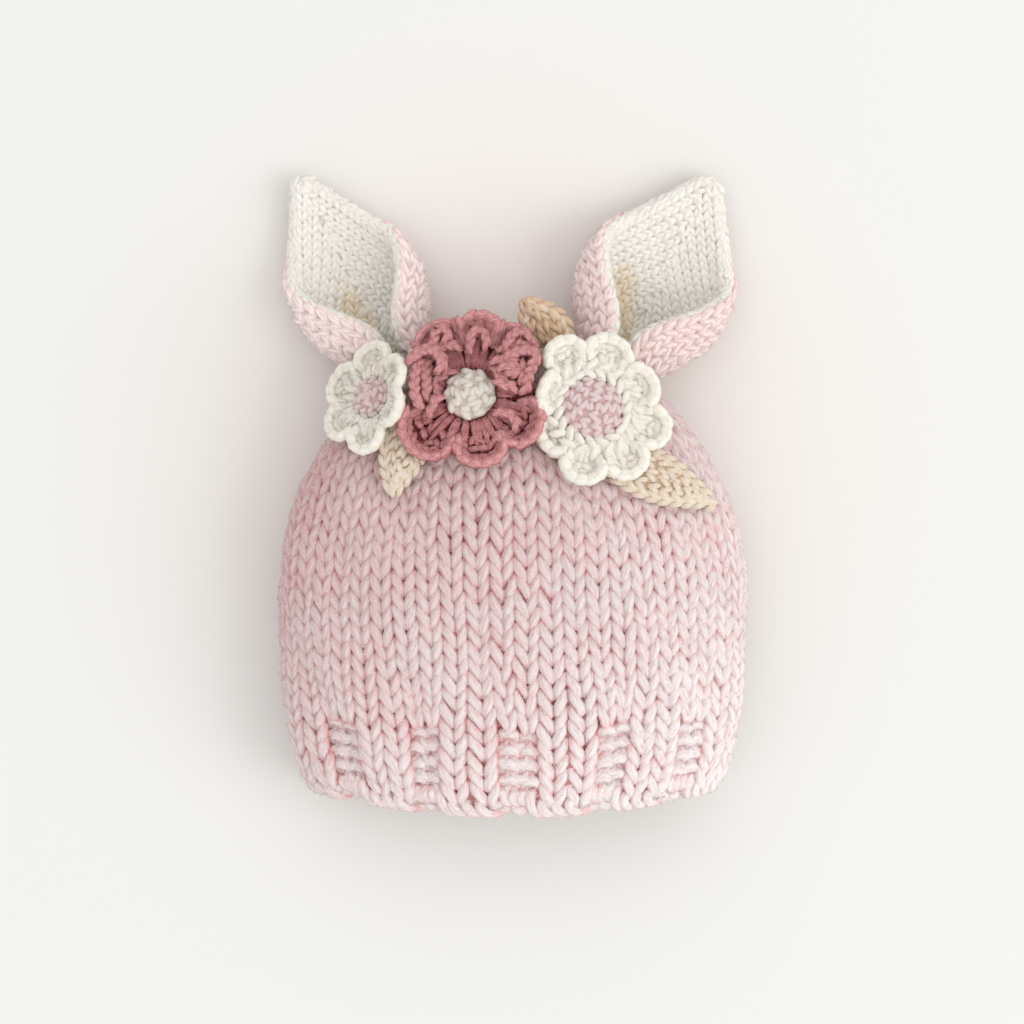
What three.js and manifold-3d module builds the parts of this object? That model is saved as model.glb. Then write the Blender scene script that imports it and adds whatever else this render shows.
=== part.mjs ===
// A chunky knitted baby hat with two folded ears and a band of crocheted flowers, lying on its back.
// Millimetres. +Z is up from the surface that it lies on, and +Y runs from the brim to the ears.
// The origin is on that surface, under the widest place of the cap's flat back.
import * as THREE from "three";
import Module from "manifold-3d";
import { mergeVertices } from "three/addons/utils/BufferGeometryUtils.js";

const wasm = await Module();
wasm.setup();

// Gap between pieces that touch
const CLEARANCE = 0.3;

// Cap
const CAP_WIDTH = 170; // across the widest place
const CROWN_LENGTH = 92; // widest place to the crown's end
const SKIRT_LENGTH = 66; // widest place to the brim's corners
const CAP_HEIGHT = 50; // from the surface to the top of the front
const EDGE_HEIGHT = 20; // from the surface to the side edges and the crown's end
const KNIT_WALL = 6.5; // chunky knitting, about two yarns thick
const BRIM_DIP = 8; // how far the middle of the front edge reaches past the corners
const BACK_DIP = 3; // the same at the back
const STITCHES = 48; // round the brim, in ribs of two knit and two purl stitches
const RIB_LENGTH = 29; // ribbed stretch at the brim
const RIB_DEPTH = 1.8; // how far the purl ribs lie back
const RIB_OFFSET = 2.5; // sideways place of the middle purl rib
const BACK_PRESS = 6; // how much of the round back is pressed flat by the surface

// Ears
const EAR_LENGTH = 90; // hidden foot to tip
const EAR_HALF_WIDTH = 23; // at the widest place, to the middle of the double layer
const EAR_LAYER = 3.4; // each of the two knitted layers
const EAR_FLATNESS = 0.46; // height of the folded ear as a share of a round one
const EAR_FOOT_FLATNESS = 0.75; // the same at the foot
const EAR_FLOOR_GAP = 0.3;
const EAR_TIP_LIFT = 3;

// Flowers and leaves
const FLOWER_THICKNESS = 4.5;
const FLOWER_DROOP = 2.5; // how far a petal's end follows the round cap down
const FLOWER_TILT = 0.45; // share of the crown's slope towards the ears that the flowers follow
const DRAPE_SOFTNESS = 1; // rounding where a flower starts to rest on the cap
const PETAL_CUP = 3.2; // how far a petal's rim curls up
const SMALL_FLOWER_RADIUS = 21.5;
const SMALL_CENTRE_RADIUS = 7.2;
const ROSE_FLOWER_RADIUS = 30;
const ROSE_CENTRE_RADIUS = 9.2;
const LARGE_FLOWER_RADIUS = 28;
const LARGE_CENTRE_RADIUS = 11;
const CENTRE_RISE = 3.2; // how far a flower's centre stands above its petals' foot
const LEAF_WIDTH = 17;
const LEAF_THICKNESS = 3.4;
const LEAF_RIDGE = 2.2; // height of the fold along the middle

// Cap form: shares and powers that give the photograph's outline
const DOME_WIDTH_POWER = 0.85; // below 1 is fuller than an ellipse
const DOME_HEIGHT_POWER = 0.7;
const SECTION_POWER = 0.8;
const SKIRT_TAPER = 0.055; // share of the width lost towards the brim
const BRIM_DRAW = 0.06; // share of the width lost in the ribs' rounded corners
const BRIM_SINK = 0.45; // share of the front's rise lost at the brim
const MIDDLE_STRETCH = 0.22; // how much wider the front's middle stitches are
const MIDDLE_SPREAD = 0.4; // half width of that stretch as a share of half the cap

// Each row is a section across the ear: along is a share of its length, width of its half width,
// and curl is how far each side is rolled forward, in degrees.
const EAR_SECTIONS = [
  { along: 0, width: 0.42, curl: 160 },
  { along: 0.16, width: 0.48, curl: 166 },
  { along: 0.25, width: 0.67, curl: 168 },
  { along: 0.33, width: 0.86, curl: 162 },
  { along: 0.4, width: 0.97, curl: 150 },
  { along: 0.48, width: 1.02, curl: 134 },
  { along: 0.57, width: 0.99, curl: 112 },
  { along: 0.65, width: 0.92, curl: 90 },
  { along: 0.75, width: 0.73, curl: 62 },
  { along: 0.86, width: 0.47, curl: 40 },
  { along: 0.95, width: 0.26, curl: 24 },
  { along: 1, width: 0.13, curl: 15 },
];

// x is a share of half the cap's width and y of the crown's length; length and width are shares of the ear's.
// lean is the tilt from +Y and turn is how far the folded foot is turned about the ear, both in degrees.
const EARS = [
  { name: "left", x: -0.425, y: 0.805, length: 1, width: 0.92, lean: -28, turn: -16 },
  { name: "right", x: 0.36, y: 0.805, length: 1, width: 1.1, lean: 28, turn: 9 },
];

// Each petal has its middle's angle in degrees, its reach as a share of the flower's radius,
// and its lift and sideways fold as shares of the petals' cup.
const FLOWERS = [
  {
    name: "rose",
    x: -0.172,
    y: 0.785,
    radius: ROSE_FLOWER_RADIUS,
    centre: ROSE_CENTRE_RADIUS,
    notch: 0.5,
    rise: 1.2,
    colour: 0xb8696f,
    centreColour: 0xe9e4d6,
    petals: [
      { angle: 18, reach: 0.82, lift: 1.4, fold: 0.5 },
      { angle: 50, reach: 1.02, lift: -0.3, fold: 0.9 },
      { angle: 83, reach: 1.0, lift: 0.6, fold: -0.6 },
      { angle: 118, reach: 1.0, lift: -0.2, fold: 0.8 },
      { angle: 163, reach: 0.76, lift: 1.3, fold: -0.7 },
      { angle: 226, reach: 1.0, lift: 0.3, fold: 0.5 },
      { angle: 284, reach: 0.92, lift: 0.1, fold: -0.4 },
      { angle: 330, reach: 0.98, lift: 0.2, fold: 0.7 },
    ],
  },
  {
    name: "large",
    x: 0.322,
    y: 0.735,
    radius: LARGE_FLOWER_RADIUS,
    centre: LARGE_CENTRE_RADIUS,
    notch: 0.64,
    rise: 0,
    colour: 0xf3efe1,
    centreColour: 0xdcb9bd,
    petals: [
      { angle: 24, reach: 0.93, lift: 0.1, fold: 0 },
      { angle: 74, reach: 1.0, lift: 0.2, fold: 0 },
      { angle: 117, reach: 1.02, lift: 0.1, fold: 0.1 },
      { angle: 160, reach: 0.86, lift: 0.7, fold: 0.2 },
      { angle: 217, reach: 0.98, lift: -0.2, fold: 0 },
      { angle: 258, reach: 1.02, lift: 0.1, fold: 0 },
      { angle: 303, reach: 1.05, lift: 0, fold: 0.1 },
      { angle: 341, reach: 1.06, lift: -0.1, fold: 0 },
    ],
  },
  {
    name: "small",
    x: -0.56,
    y: 0.775,
    radius: SMALL_FLOWER_RADIUS,
    centre: SMALL_CENTRE_RADIUS,
    notch: 0.52,
    rise: 0,
    colour: 0xf3f0e4,
    centreColour: 0xd6b1b8,
    petals: [
      { angle: 37, reach: 0.92, lift: 0.8, fold: -0.4 },
      { angle: 92, reach: 0.98, lift: 0.2, fold: 0 },
      { angle: 163, reach: 1.0, lift: 0, fold: 0 },
      { angle: 220, reach: 1.0, lift: 0, fold: 0 },
      { angle: 277, reach: 1.02, lift: 0.1, fold: 0.1 },
      { angle: 340, reach: 0.88, lift: 0.6, fold: 0.5 },
    ],
  },
];

// footX and tipX are shares of half the cap's width, footY and tipY of the crown's length, and width is a share
// of the leaf's. over is the leaf's height above the cap's front there, or above the cap's edge where it is free.
const LEAVES = [
  { name: "top_leaf", footX: 0.2, footY: 0.96, tipX: 0.06, tipY: 1.16, width: 0.95, over: 13, free: true },
  { name: "left_leaf", footX: -0.42, footY: 0.72, tipX: -0.5, tipY: 0.425, width: 0.8, over: 0.3, free: false },
  { name: "right_leaf", footX: 0.37, footY: 0.575, tipX: 0.825, tipY: 0.385, width: 0.95, over: 0.3, free: false },
];

const PINK = 0xe9cfce;
const CREAM = 0xf2eee0;
const BEIGE = 0xdccbac;

// Small helpers

const radians = (degrees) => (degrees * Math.PI) / 180;
const mix = (a, b, share) => a + (b - a) * share;

function smoothStep(from, to, value) {
  const share = Math.min(1, Math.max(0, (value - from) / (to - from)));
  return share * share * (3 - 2 * share);
}

// A column of a table at a place between its rows, on a curve that never overshoots a row.
function column(table, key, along) {
  let row = 0;
  while (row < table.length - 2 && along > table[row + 1].along) row += 1;
  const [from, to] = [table[row], table[row + 1]];
  const slope = (a, b) => (b[key] - a[key]) / (b.along - a.along);
  const here = slope(from, to);
  const tangent = (before, after) => (before * after <= 0 ? 0 : (2 * before * after) / (before + after));
  const start = row > 0 ? tangent(slope(table[row - 1], from), here) : here;
  const end = row < table.length - 2 ? tangent(here, slope(to, table[row + 2])) : here;
  const span = to.along - from.along;
  const t = (along - from.along) / span;
  const [t2, t3] = [t * t, t * t * t];
  return (
    (2 * t3 - 3 * t2 + 1) * from[key] +
    (t3 - 2 * t2 + t) * span * start +
    (3 * t2 - 2 * t3) * to[key] +
    (t3 - t2) * span * end
  );
}

// A solid from its points and its triangles, whose corners go anticlockwise as seen from outside.
function solidFrom(points, triangles) {
  return new wasm.Manifold(
    new wasm.Mesh({
      numProp: 3,
      vertProperties: new Float32Array(points.flatMap((p) => [p.x, p.y, p.z])),
      triVerts: new Uint32Array(triangles.flat()),
    }),
  );
}

// Two triangles over four corners that go anticlockwise as seen from outside.
const quad = (a, b, c, d) => [
  [a, b, c],
  [a, c, d],
];

// The largest body of a cut solid, without the crumbs that the cut leaves.
function largest(solid) {
  return solid.decompose().reduce((best, body) => (body.volume() > best.volume() ? body : best));
}

// A solid cut clear of others, which are grown by the clearance.
const cutBy = (solid, tools) => largest(tools.reduce((left, tool) => left.subtract(tool), solid));

// Cap

const alongAt = (y) => (y < 0 ? Math.max(-1, y / SKIRT_LENGTH) : (Math.asin(Math.min(1, y / CROWN_LENGTH)) * 2) / Math.PI);

// Half width and rise above the side edge of the section at a place along the cap: -1 is the brim, 0 the widest
// place and 1 the crown's end.
function capSection(along, inset = 0) {
  const dome = Math.cos((Math.max(0, along) * Math.PI) / 2);
  const skirt = Math.max(0, -along);
  return {
    halfWidth: (CAP_WIDTH / 2 - inset) * dome ** DOME_WIDTH_POWER * (1 - SKIRT_TAPER * skirt ** 2 - BRIM_DRAW * skirt ** 8),
    rise: (CAP_HEIGHT - EDGE_HEIGHT - inset) * dome ** DOME_HEIGHT_POWER * (1 - BRIM_SINK * skirt ** 2),
    drop: (EDGE_HEIGHT + BACK_PRESS - inset) * dome ** DOME_HEIGHT_POWER,
  };
}

// A point of the cap, inset from its outside. The angle is 0 at the right edge and a right angle in the front's middle.
function capPoint(along, angle, inset = 0) {
  const section = capSection(along, inset);
  const front = Math.sin(angle) >= 0;
  const fullness = Math.abs(Math.sin(angle)) ** SECTION_POWER;
  const dip = (front ? BRIM_DIP : BACK_DIP) * Math.sin(angle) ** 2 * ((1 - along) / 2) ** 2;
  const y = along < 0 ? SKIRT_LENGTH * along : (CROWN_LENGTH - inset) * Math.sin((along * Math.PI) / 2);
  return new THREE.Vector3(
    section.halfWidth * Math.cos(angle),
    y - dip,
    front ? EDGE_HEIGHT + section.rise * fullness : Math.max(inset, EDGE_HEIGHT - section.drop * fullness),
  );
}

// Height of the cap's front at a place seen from above.
function capTop(x, y) {
  const section = capSection(alongAt(y));
  const across = Math.min(1, Math.abs(x) / Math.max(section.halfWidth, 1e-6));
  return EDGE_HEIGHT + section.rise * (1 - across ** 2) ** (SECTION_POWER / 2);
}

// The section's angle at each stitch: the stitches share the way round, and the front's middle ones are stretched.
function stitchAngles() {
  const steps = 1440;
  const angleAt = (step) => (step / steps) * 2 * Math.PI;
  const travelled = [0];
  for (let step = 0; step < steps; step += 1) {
    const [from, to] = [capPoint(0, angleAt(step)), capPoint(0, angleAt(step + 1))];
    const middle = Math.exp(-((from.x / ((CAP_WIDTH / 2) * MIDDLE_SPREAD)) ** 2));
    const stretch = 1 + (Math.sin(angleAt(step)) > 0 ? MIDDLE_STRETCH * middle : 0);
    travelled.push(travelled[step] + from.distanceTo(to) / stretch);
  }
  const total = travelled[steps];
  const ribStep = Math.round((Math.acos(RIB_OFFSET / (CAP_WIDTH / 2)) / (2 * Math.PI)) * steps);
  return Array.from({ length: STITCHES }, (_, stitch) => {
    const way = (travelled[ribStep] + ((stitch + 0.5) * total) / STITCHES) % total;
    const step = travelled.findIndex((length) => length >= way);
    const share = (way - travelled[step - 1]) / (travelled[step] - travelled[step - 1]);
    return angleAt(step - 1 + share);
  });
}

const isPurl = (stitch) => stitch % 4 === 0 || stitch % 4 === 3;

// The cap's closed outer skin, and with hollow its inner skin too. grow moves the outer skin outwards.
function capSolid(grow = 0, hollow = true) {
  const ribEnd = RIB_LENGTH / SKIRT_LENGTH - 1;
  const ribRings = [-1, mix(-1, ribEnd, 0.33), mix(-1, ribEnd, 0.67), mix(-1, ribEnd, 0.92)];
  const outerRings = [...ribRings, ribEnd + 0.05, ribEnd / 2, 0, 0.18, 0.34, 0.48, 0.6, 0.71, 0.81, 0.9, 0.97];
  const innerRings = [-1, -0.66, -0.33, 0, 0.22, 0.42, 0.6, 0.76, 0.9];
  const angles = stitchAngles();
  const points = [];
  const triangles = [];
  const addRing = (along, insetAt) => {
    points.push(...angles.map((angle, stitch) => capPoint(along, angle, insetAt(stitch))));
    return points.length - STITCHES;
  };
  const band = (low, high, outwards) => {
    for (let stitch = 0; stitch < STITCHES; stitch += 1) {
      const next = (stitch + 1) % STITCHES;
      const corners = [low + stitch, high + stitch, high + next, low + next];
      triangles.push(...quad(...(outwards ? corners : corners.reverse())));
    }
  };
  const close = (ring, along, inset, outwards) => {
    const end = points.push(capPoint(along, 0, inset)) - 1;
    for (let stitch = 0; stitch < STITCHES; stitch += 1) {
      const next = (stitch + 1) % STITCHES;
      triangles.push(outwards ? [ring + stitch, end, ring + next] : [ring + next, end, ring + stitch]);
    }
  };
  const ribInset = (along) => (stitch) => (isPurl(stitch) && along <= ribEnd && !grow ? RIB_DEPTH : 0) - grow;
  const outer = outerRings.map((along) => addRing(along, ribInset(along)));
  outer.slice(1).forEach((ring, index) => band(outer[index], ring, true));
  close(outer.at(-1), 1, -grow, true);
  if (hollow) {
    const inner = innerRings.map((along) => addRing(along, () => KNIT_WALL));
    inner.slice(1).forEach((ring, index) => band(inner[index], ring, false));
    close(inner.at(-1), 1, KNIT_WALL, false);
    band(inner[0], outer[0], true);
  } else {
    close(outer[0], -1, CAP_WIDTH / 2 - 1, false);
  }
  return solidFrom(points, triangles);
}

// Walls: a surface given by at(s, t), with s and t from 0 to 1, closed between two distances along its normal

function wallSolid(at, rows, columns, low, high, grow = 0) {
  const step = 1e-3;
  const points = [];
  const inside = (value) => Math.min(1 - step, Math.max(step, value));
  const outwards = (index, count) => (index === 0 ? -grow : index === count ? grow : 0);
  for (const distance of [low - grow, high + grow])
    for (let i = 0; i <= rows; i += 1)
      for (let j = 0; j <= columns; j += 1) {
        const [s, t] = [i / rows, j / columns];
        const [si, ti] = [inside(s), inside(t)];
        const ds = at(si + step, ti).sub(at(si - step, ti)).normalize();
        const dt = at(si, ti + step).sub(at(si, ti - step)).normalize();
        const point = at(s, t).addScaledVector(ds, outwards(i, rows)).addScaledVector(dt, outwards(j, columns));
        points.push(point.addScaledVector(dt.cross(ds).normalize(), distance));
      }
  const under = (i, j) => i * (columns + 1) + j;
  const over = (i, j) => (rows + 1) * (columns + 1) + under(i, j);
  const triangles = [];
  for (let i = 0; i < rows; i += 1)
    for (let j = 0; j < columns; j += 1) {
      triangles.push(...quad(over(i, j), over(i, j + 1), over(i + 1, j + 1), over(i + 1, j)));
      triangles.push(...quad(under(i, j), under(i + 1, j), under(i + 1, j + 1), under(i, j + 1)));
    }
  for (let i = 0; i < rows; i += 1) {
    triangles.push(...quad(under(i, 0), over(i, 0), over(i + 1, 0), under(i + 1, 0)));
    triangles.push(...quad(under(i + 1, columns), over(i + 1, columns), over(i, columns), under(i, columns)));
  }
  for (let j = 0; j < columns; j += 1) {
    triangles.push(...quad(under(0, j + 1), over(0, j + 1), over(0, j), under(0, j)));
    triangles.push(...quad(under(rows, j), over(rows, j), over(rows, j + 1), under(rows, j + 1)));
  }
  return solidFrom(points, triangles);
}

// Ears: a leaf whose sides are rolled forward, nearly to a closed tube at the foot and hardly at the tip

function earSurface(ear) {
  const axis = new THREE.Vector3(Math.sin(radians(ear.lean)), Math.cos(radians(ear.lean)), 0);
  const across = new THREE.Vector3(axis.y, -axis.x, 0);
  const root = new THREE.Vector3((ear.x * CAP_WIDTH) / 2, ear.y * CROWN_LENGTH, 0);
  const rootHeight = EDGE_HEIGHT - EAR_FOOT_FLATNESS * EAR_HALF_WIDTH * EAR_SECTIONS[0].width;
  const lowHeight = EAR_LAYER + CLEARANCE / 2 + EAR_FLOOR_GAP;
  return (s, t) => {
    const half = EAR_HALF_WIDTH * ear.width * column(EAR_SECTIONS, "width", s);
    const curl = radians(column(EAR_SECTIONS, "curl", s));
    const radius = curl < Math.PI / 2 ? half / Math.sin(curl) : half;
    const angle = curl * (2 * t - 1) + radians(ear.turn) * (1 - s) ** 2;
    const flatness = mix(EAR_FOOT_FLATNESS, EAR_FLATNESS, smoothStep(0, 0.4, s));
    const height = mix(rootHeight, lowHeight, smoothStep(0, 0.45, s)) + EAR_TIP_LIFT * smoothStep(0.6, 1, s);
    return root
      .clone()
      .addScaledVector(axis, s * EAR_LENGTH * ear.length)
      .addScaledVector(across, radius * Math.sin(angle))
      .setZ(height + flatness * radius * (1 - Math.cos(angle)));
  };
}

const earBack = (ear, grow = 0) =>
  wallSolid(earSurface(ear), 13, 12, -EAR_LAYER - CLEARANCE / 2, -CLEARANCE / 2, grow);

const earLining = (ear, grow = 0) =>
  wallSolid(earSurface(ear), 13, 12, CLEARANCE / 2, EAR_LAYER + CLEARANCE / 2, grow);

// Flowers: rings of petals round a button, on a plane that lies on the cap's front

// The flower's centre on the cap and its own axes, with n out of the cap.
function flowerFrame(flower) {
  const [x, y] = [(flower.x * CAP_WIDTH) / 2, flower.y * CROWN_LENGTH];
  const span = flower.radius * 0.55;
  const slopeX = (capTop(x + span, y) - capTop(x - span, y)) / (2 * span);
  const slopeY = (FLOWER_TILT * (capTop(x, y + span) - capTop(x, y - span))) / (2 * span);
  const n = new THREE.Vector3(-slopeX, -slopeY, 1).normalize();
  const u = new THREE.Vector3(1, 0, slopeX).normalize();
  const v = n.clone().cross(u);
  const seat = new THREE.Vector3(x, y, capTop(x, y));
  return { seat, u, v, n };
}

// A point of a flower at a radius and an angle, at a height above its seat. Where the cap is higher than the
// flower's plane, the flower is draped over it.
function flowerPoint(frame, radius, angle, height) {
  const foot = frame.seat
    .clone()
    .addScaledVector(frame.u, radius * Math.cos(angle))
    .addScaledVector(frame.v, radius * Math.sin(angle));
  const depth = capTop(foot.x, foot.y) + CLEARANCE - foot.z;
  const draped = (depth + Math.hypot(depth, DRAPE_SOFTNESS)) / 2;
  return foot.addScaledVector(frame.n, height).add(new THREE.Vector3(0, 0, draped));
}

// Petals: the outline goes from notch to notch in a round bow, the rim curls up and each petal may lean sideways.
function petalSolid(flower, grow = 0) {
  const frame = flowerFrame(flower);
  const steps = 6;
  const shares = [0, 0.35, 0.7, 0.9, 1];
  const hole = flower.centre + CLEARANCE / 2 - grow;
  const notch = flower.notch * flower.radius;
  const petals = flower.petals;
  const start = petals.map((petal, index) => {
    const before = petals.at(index - 1).angle - (index === 0 ? 360 : 0);
    return (before + petal.angle) / 2;
  });
  const end = petals.map((petal, index) => (index === petals.length - 1 ? start[0] + 360 : start[index + 1]));
  const columnsOfPoints = petals.flatMap((petal, index) =>
    Array.from({ length: steps }, (_, step) => {
      const x = -1 + (2 * step) / steps;
      const angle = x < 0 ? mix(petal.angle, start[index], -x) : mix(petal.angle, end[index], x);
      const bow = (1 - Math.abs(x) ** 2.6) ** 0.5;
      const outer = mix(notch, petal.reach * flower.radius, bow) + grow;
      return shares.map((share) => {
        const radius = mix(hole, outer, share);
        const droop = -FLOWER_DROOP * (radius / flower.radius) ** 2;
        const cup = PETAL_CUP * (share ** 3 + (petal.lift + petal.fold * x) * share * bow);
        return { radius, angle: radians(angle), height: flower.rise + FLOWER_THICKNESS + droop + cup };
      });
    }),
  );
  const points = [];
  for (const side of [0, 1])
    for (const points_ of columnsOfPoints)
      for (const [row, p] of points_.entries()) {
        const depth = FLOWER_THICKNESS * (row === shares.length - 1 ? 0.8 : 1) + (row === 0 ? flower.rise : 0);
        points.push(flowerPoint(frame, p.radius, p.angle, p.height + (side ? grow : -depth - grow)));
      }
  const columns = columnsOfPoints.length;
  const under = (i, j) => (i % columns) * shares.length + j;
  const over = (i, j) => columns * shares.length + under(i, j);
  const triangles = [];
  const last = shares.length - 1;
  for (let i = 0; i < columns; i += 1) {
    for (let j = 0; j < last; j += 1) {
      triangles.push(...quad(over(i, j), over(i, j + 1), over(i + 1, j + 1), over(i + 1, j)));
      triangles.push(...quad(under(i, j), under(i + 1, j), under(i + 1, j + 1), under(i, j + 1)));
    }
    triangles.push(...quad(under(i, 0), over(i, 0), over(i + 1, 0), under(i + 1, 0)));
    triangles.push(...quad(under(i, last), under(i + 1, last), over(i + 1, last), over(i, last)));
  }
  return solidFrom(points, triangles);
}

// The button in the petals' middle: a low dome turned about the flower's axis, deep enough to meet the cap.
function buttonSolid(flower, grow = 0) {
  const frame = flowerFrame(flower);
  const radius = flower.centre - CLEARANCE / 2 + grow;
  const top = flower.rise + FLOWER_THICKNESS + CENTRE_RISE + grow;
  const profile = [
    [0, -FLOWER_THICKNESS],
    [radius * 0.8, -FLOWER_THICKNESS],
    [radius, 0],
    [radius, top - 1.6 * CENTRE_RISE * 0.5],
    [radius * 0.85, top - 0.45 * CENTRE_RISE],
    [radius * 0.5, top - 0.1 * CENTRE_RISE],
    [0, top],
  ].map(([x, y]) => new THREE.Vector2(x, y));
  const turned = new THREE.LatheGeometry(profile, 20).deleteAttribute("normal").deleteAttribute("uv");
  const basis = new THREE.Matrix4().makeBasis(frame.u, frame.n, frame.v.clone().negate()).setPosition(frame.seat);
  const merged = mergeVertices(turned.applyMatrix4(basis), 1e-4);
  const position = merged.getAttribute("position");
  const points = Array.from({ length: position.count }, (_, i) => new THREE.Vector3().fromBufferAttribute(position, i));
  const index = Array.from(merged.index.array);
  const triangles = [];
  for (let i = 0; i < index.length; i += 3) {
    const [a, b, c] = index.slice(i, i + 3);
    if (a !== b && b !== c && c !== a) triangles.push([a, b, c]);
  }
  return solidFrom(points, triangles);
}

// Leaves: a pointed oval with a raised fold along its middle, laid over the cap or standing free past its end

function leafSurface(leaf) {
  const foot = new THREE.Vector2((leaf.footX * CAP_WIDTH) / 2, leaf.footY * CROWN_LENGTH);
  const tip = new THREE.Vector2((leaf.tipX * CAP_WIDTH) / 2, leaf.tipY * CROWN_LENGTH);
  const axis = tip.clone().sub(foot).normalize();
  const half = (leaf.width * LEAF_WIDTH) / 2;
  return (s, t) => {
    const side = 2 * t - 1;
    const width = half * (0.12 + 0.88 * Math.sin(Math.PI * s ** 0.85) ** 0.75);
    const place = foot.clone().lerp(tip, s).addScaledVector(new THREE.Vector2(axis.y, -axis.x), width * side);
    const ground = leaf.free ? EDGE_HEIGHT : capTop(place.x, place.y);
    const ridge = LEAF_RIDGE * (1 - Math.abs(side)) * Math.sin(Math.PI * s);
    return new THREE.Vector3(place.x, place.y, ground + leaf.over + LEAF_THICKNESS / 2 + ridge);
  };
}

const leafSolid = (leaf) => wallSolid(leafSurface(leaf), 9, 6, -LEAF_THICKNESS / 2, LEAF_THICKNESS / 2);

// Assembly: each piece is cut clear of those that lie over or under it

const meshes = [];

function addPiece(name, solid, colour) {
  const mesh = solid.getMesh();
  const geometry = new THREE.BufferGeometry();
  geometry.setAttribute("position", new THREE.BufferAttribute(new Float32Array(mesh.vertProperties), 3));
  geometry.setIndex(new THREE.BufferAttribute(new Uint32Array(mesh.triVerts), 1));
  geometry.computeVertexNormals();
  const piece = new THREE.Mesh(
    geometry,
    new THREE.MeshStandardMaterial({ color: colour, roughness: 0.95, metalness: 0 }),
  );
  piece.name = name;
  meshes.push(piece);
}

addPiece("knit_cap", capSolid(), PINK);
const capRoom = capSolid(CLEARANCE, false);

for (const ear of EARS) {
  addPiece(`${ear.name}_ear_back`, cutBy(earBack(ear), [capRoom]), PINK);
  addPiece(`${ear.name}_ear_lining`, cutBy(earLining(ear), [capRoom]), CREAM);
}
const earRoom = EARS.flatMap((ear) => [earBack(ear, CLEARANCE), earLining(ear, CLEARANCE)]);

const taken = [capRoom, ...earRoom];
for (const flower of FLOWERS) {
  addPiece(`${flower.name}_flower_centre`, cutBy(buttonSolid(flower), taken), flower.centreColour);
  taken.push(buttonSolid(flower, CLEARANCE));
  addPiece(`${flower.name}_flower_petals`, cutBy(petalSolid(flower), taken), flower.colour);
  taken.push(petalSolid(flower, CLEARANCE));
}
for (const leaf of LEAVES) addPiece(leaf.name, cutBy(leafSolid(leaf), taken), BEIGE);

export default new THREE.Group().add(...meshes);
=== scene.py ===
import math

import bpy
import numpy as np
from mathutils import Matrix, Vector


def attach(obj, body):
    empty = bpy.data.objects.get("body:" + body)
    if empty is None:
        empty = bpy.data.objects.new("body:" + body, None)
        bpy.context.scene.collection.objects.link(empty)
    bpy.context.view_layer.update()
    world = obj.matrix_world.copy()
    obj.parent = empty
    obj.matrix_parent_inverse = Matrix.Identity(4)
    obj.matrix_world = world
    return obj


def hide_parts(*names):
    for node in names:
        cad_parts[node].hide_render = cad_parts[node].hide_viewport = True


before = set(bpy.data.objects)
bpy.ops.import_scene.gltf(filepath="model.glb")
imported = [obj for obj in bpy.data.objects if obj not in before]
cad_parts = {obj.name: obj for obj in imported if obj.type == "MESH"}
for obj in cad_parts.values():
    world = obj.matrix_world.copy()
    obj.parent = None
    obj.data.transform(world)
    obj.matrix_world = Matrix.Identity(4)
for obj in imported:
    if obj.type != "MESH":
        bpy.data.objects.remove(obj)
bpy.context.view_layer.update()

# A chunky knitted baby hat with two folded, lined ears and a band of crocheted flowers, lying on its back.
# Shapes are worked out in millimetres in the frame of the solids, and turned into metres as a mesh is made.

rng = np.random.default_rng(5)

# Sizes of the solids, as in the part's source
CLEARANCE = 0.3
CAP_WIDTH = 170.0
CROWN_LENGTH = 92.0
SKIRT_LENGTH = 66.0
CAP_HEIGHT = 50.0
EDGE_HEIGHT = 20.0
BRIM_DIP = 8.0
BACK_DIP = 3.0
STITCHES = 48
RIB_DEPTH = 1.8
RIB_OFFSET = 2.5
BACK_PRESS = 6.0
DOME_WIDTH_POWER = 0.85
DOME_HEIGHT_POWER = 0.7
SECTION_POWER = 0.8
SKIRT_TAPER = 0.055
BRIM_DRAW = 0.06
BRIM_SINK = 0.45
MIDDLE_STRETCH = 0.22
MIDDLE_SPREAD = 0.4

EAR_LENGTH = 90.0
EAR_HALF_WIDTH = 23.0
EAR_LAYER = 3.4
EAR_FLATNESS = 0.46
EAR_FOOT_FLATNESS = 0.75
EAR_FLOOR_GAP = 0.3
EAR_TIP_LIFT = 3.0

# Sections of the ear: place along it, half width as a share, and curl of each side in degrees
EAR_SECTIONS = np.array([
    (0.00, 0.42, 160), (0.16, 0.48, 166), (0.25, 0.67, 168), (0.33, 0.86, 162), (0.40, 0.97, 150),
    (0.48, 1.02, 134), (0.57, 0.99, 112), (0.65, 0.92, 90), (0.75, 0.73, 62), (0.86, 0.47, 40),
    (0.95, 0.26, 24), (1.00, 0.13, 15),
])

EARS = {
    "left": dict(x=-0.425, y=0.805, width=0.92, lean=-28, turn=-16, crease=(0.5, -0.07)),
    "right": dict(x=0.36, y=0.805, width=1.1, lean=28, turn=9, crease=(0.566, -0.37)),
}

FLOWER_THICKNESS = 4.5
FLOWER_DROOP = 2.5
FLOWER_TILT = 0.45
DRAPE_SOFTNESS = 1.0
PETAL_CUP = 3.2
CENTRE_RISE = 3.2
LEAF_WIDTH = 17.0
LEAF_THICKNESS = 3.4
LEAF_RIDGE = 2.2

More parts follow.
